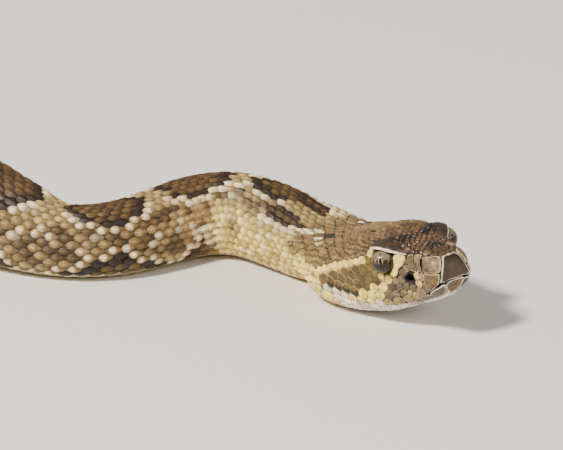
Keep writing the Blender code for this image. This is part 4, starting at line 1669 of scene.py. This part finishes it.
def build_eye(name, node, side):
    """One eyeball, its poles on the line of sight."""
    ahead, out, up = GAZE
    sight = (TO_FRONT * ahead + side * TO_LEFT * out + TO_TOP * up).normalized()
    upright = (TO_TOP - sight * sight.dot(TO_TOP)).normalized()
    across = sight.cross(upright)
    centre = Vector(from_head(EYE_AT[0], side * EYE_AT[1], EYE_AT[2]))
    points, tones, spots = [], [], []
    for i in range(EYE_RINGS + 1):
        bend = math.pi * (i / EYE_RINGS) ** 1.15
        for a in turns(EYE_POINTS):
            x, z = math.sin(bend) * math.cos(a), math.sin(bend) * math.sin(a)
            spoke = sight * math.cos(bend) + across * x + upright * z
            points.append(centre + spoke * EYE_RADIUS)
            tones.append(iris_tone(z, x, side * 2.0) if bend < 1.7 else IRIS_LOW * 0.2)
            spots.append([0.5 + 0.47 * bend / math.pi * f(a) for f in (math.cos, math.sin)])
    faces = net(EYE_RINGS + 1, EYE_POINTS, FACING_OUT)
    piece = make_piece(name, points, faces, tones, spots, EYE_FINISH)
    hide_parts(node)


build_eye("eyeball_left", "eye_left", 1)
build_eye("eyeball_right", "eye_right", -1)

# %% [markdown]
# ## The rattle
# Each shed skin leaves one hollow lobe of horn, hooked loosely over the last.  A lobe is wider
# than the neck between two lobes and has a groove along each side.  Turning a profile, as on a
# lathe, would be shorter, but these lobes are higher than wide and the grooves would be lost.  So
# each lobe is a stack of ovals whose size, groove and colour are worked out point by point.

# %% Shaping the rattle
RATTLE_SEGMENTS = 8
RATTLE_PITCH = 3.3 * MM
RATTLE_HALF = (3.4 * MM, 4.9 * MM)   # half width and half height of the first lobe
RATTLE_ABOVE_FLOOR = 0.03 * MM
RATTLE_TAPER = 0.055             # how much smaller each lobe is than the one before
RATTLE_RINGS, RATTLE_POINTS = 22, 54
HORN, HORN_DARK = mix(150, 128, 88), mix(62, 48, 32)


def build_rattle():
    """Lobes of horn, joined in one piece."""
    place, forward, left = SPINE_PLACE[-1], SPINE_FORWARD[-1], SPINE_LEFT[-1]
    back = -unit(np.array((forward[0], forward[1], 0.0)))
    points, tones, faces, spots = [], [], [], []
    for segment in range(RATTLE_SEGMENTS):
        size = 1 - RATTLE_TAPER * segment
        horn = between(HORN, HORN_DARK, smooth(1 - segment / 2.5))
        start = len(points)
        for i in range(RATTLE_RINGS + 1):
            f = i / RATTLE_RINGS
            along = (segment + f * 1.16 - 0.10) * RATTLE_PITCH + 0.1 * MM
            # a steep shoulder in front, a broad band, a crease, and a lower second band
            swell = 0.66 + 0.34 * smooth(f / 0.16) - 0.10 * smooth((f - 0.50) / 0.10)
            swell -= 0.30 * smooth((f - 0.72) / 0.28) + 0.05 * bump(f - 0.55, 0.05)
            shade = 0.55 + 0.45 * smooth(f / 0.2) - 0.35 * bump(f - 0.56, 0.08)
            shade -= 0.35 * smooth((f - 0.80) / 0.2)
            for k, a in enumerate(turns(RATTLE_POINTS)):
                groove = 1 - 0.15 * bump(math.sin(a), 0.22)
                crimp = 1 + 0.012 * math.sin(9 * a + 2 * segment) * math.sin(math.pi * f)
                half, high = (r * size * swell * groove * crimp for r in RATTLE_HALF)
                point = np.array((place[0], place[1], RATTLE_HALF[1] * size + high * math.sin(a)))
                point = point + back * along + left * half * math.cos(a)
                point[2] = max(point[2], RATTLE_ABOVE_FLOOR)
                points.append(point)
                tones.append(horn * (shade - 0.20 * bump(math.sin(a), 0.2)))
                spots.append(((segment + 0.9 * f) / RATTLE_SEGMENTS, k / RATTLE_POINTS))
        faces += (start + net(RATTLE_RINGS + 1, RATTLE_POINTS)).tolist()
        faces += ends(start, start + RATTLE_RINGS * RATTLE_POINTS, RATTLE_POINTS)
    finish = coat_finish("rattle_horn", (0.35, 0.50), 0.18, 0.35, 900.0)
    piece = make_piece("rattle_lobes", points, faces, tones, on_map(np.array(spots)), finish)
    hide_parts("rattle")


build_rattle()

# %% [markdown]
# ## The room
# A museum shows a model on plain pale paper under soft light.  One soft lamp from the upper
# left models the scales, and a weak one from the right opens the shadows.  Light from all sides
# would be simpler still, but it would leave the keels and the heat pits flat.

# %% Floor
bpy.ops.mesh.primitive_plane_add(size=6.0, location=(0, 0, 0))
floor = bpy.context.object
floor.name = "floor"
floor.data.materials.append(
    new_finish("pale_paper", {"Base Color": (0.82, 0.80, 0.77, 1), "Roughness": 0.9})[0])
print("floor laid")


# %% Lamps and sky
LAMPS_AIM = Vector((0.25, 0.0, 0.0))      # between head and neck


def lamp(name, place, size, power, warmth):
    """A square soft lamp."""
    light = bpy.data.lights.new(name, "AREA")
    light.size, light.energy, light.color = size, power, warmth
    holder = bpy.data.objects.new(name, light)
    holder.location = place
    holder.rotation_euler = (LAMPS_AIM - Vector(place)).to_track_quat("-Z", "Y").to_euler()
    bpy.context.scene.collection.objects.link(holder)


lamp("key", (-0.42, -0.62, 1.05), 0.22, 34.0, (1.0, 0.95, 0.88))
lamp("fill", (1.30, -0.60, 0.60), 0.9, 4.0, (0.92, 0.96, 1.0))
sky = bpy.data.worlds.new("soft_sky")
sky.use_nodes = True
glow = sky.node_tree.nodes["Background"]
glow.inputs["Color"].default_value = (1.0, 0.98, 0.95, 1)
glow.inputs["Strength"].default_value = 0.46
bpy.context.scene.world = sky
print("lamps lit")

# %% [markdown]
# ## The camera
# One looks at the right side of the head from a little above, so that the eye, the pit and the
# crown show together.  A short lens close by would swell the snout, as it does in a close-up of a
# face.  A long lens from farther off keeps the head's own proportions.

# %% Camera
CAMERA_TILT = math.radians(20.0)          # looking down, along +Y
CAMERA_DISTANCE = 1.3
FRAME_WIDTH, FRAME_HEIGHT = 563, 450      # pixels of the finished image
PIXELS_PER_METRE = 5.25 / MM
SNOUT_PIXEL = (452.8, 258.4)              # where the snout's tip stands in it


def place_camera():
    """A camera far enough away that the head isn't stretched."""
    camera = bpy.data.objects.new("camera", bpy.data.cameras.new("camera"))
    bpy.context.scene.collection.objects.link(camera)
    up = Vector((0, math.sin(CAMERA_TILT), math.cos(CAMERA_TILT)))
    view = Vector((0, math.cos(CAMERA_TILT), -math.sin(CAMERA_TILT)))
    aside = (SNOUT_PIXEL[0] - FRAME_WIDTH / 2) / PIXELS_PER_METRE
    below = (SNOUT_PIXEL[1] - FRAME_HEIGHT / 2) / PIXELS_PER_METRE
    aim = Vector(TIP) - Vector((1, 0, 0)) * aside + up * below
    camera.location = aim - view * CAMERA_DISTANCE
    camera.rotation_euler = (math.pi / 2 - CAMERA_TILT, 0, 0)
    lens = camera.data
    lens.lens = lens.sensor_width * CAMERA_DISTANCE / (FRAME_WIDTH / PIXELS_PER_METRE)
    lens.clip_start, lens.clip_end = 0.05, 20.0
    bpy.context.scene.camera = camera
    print(f"lens {lens.lens:.0f} mm, camera {camera.location.z / MM:.0f} mm above the floor")


place_camera()
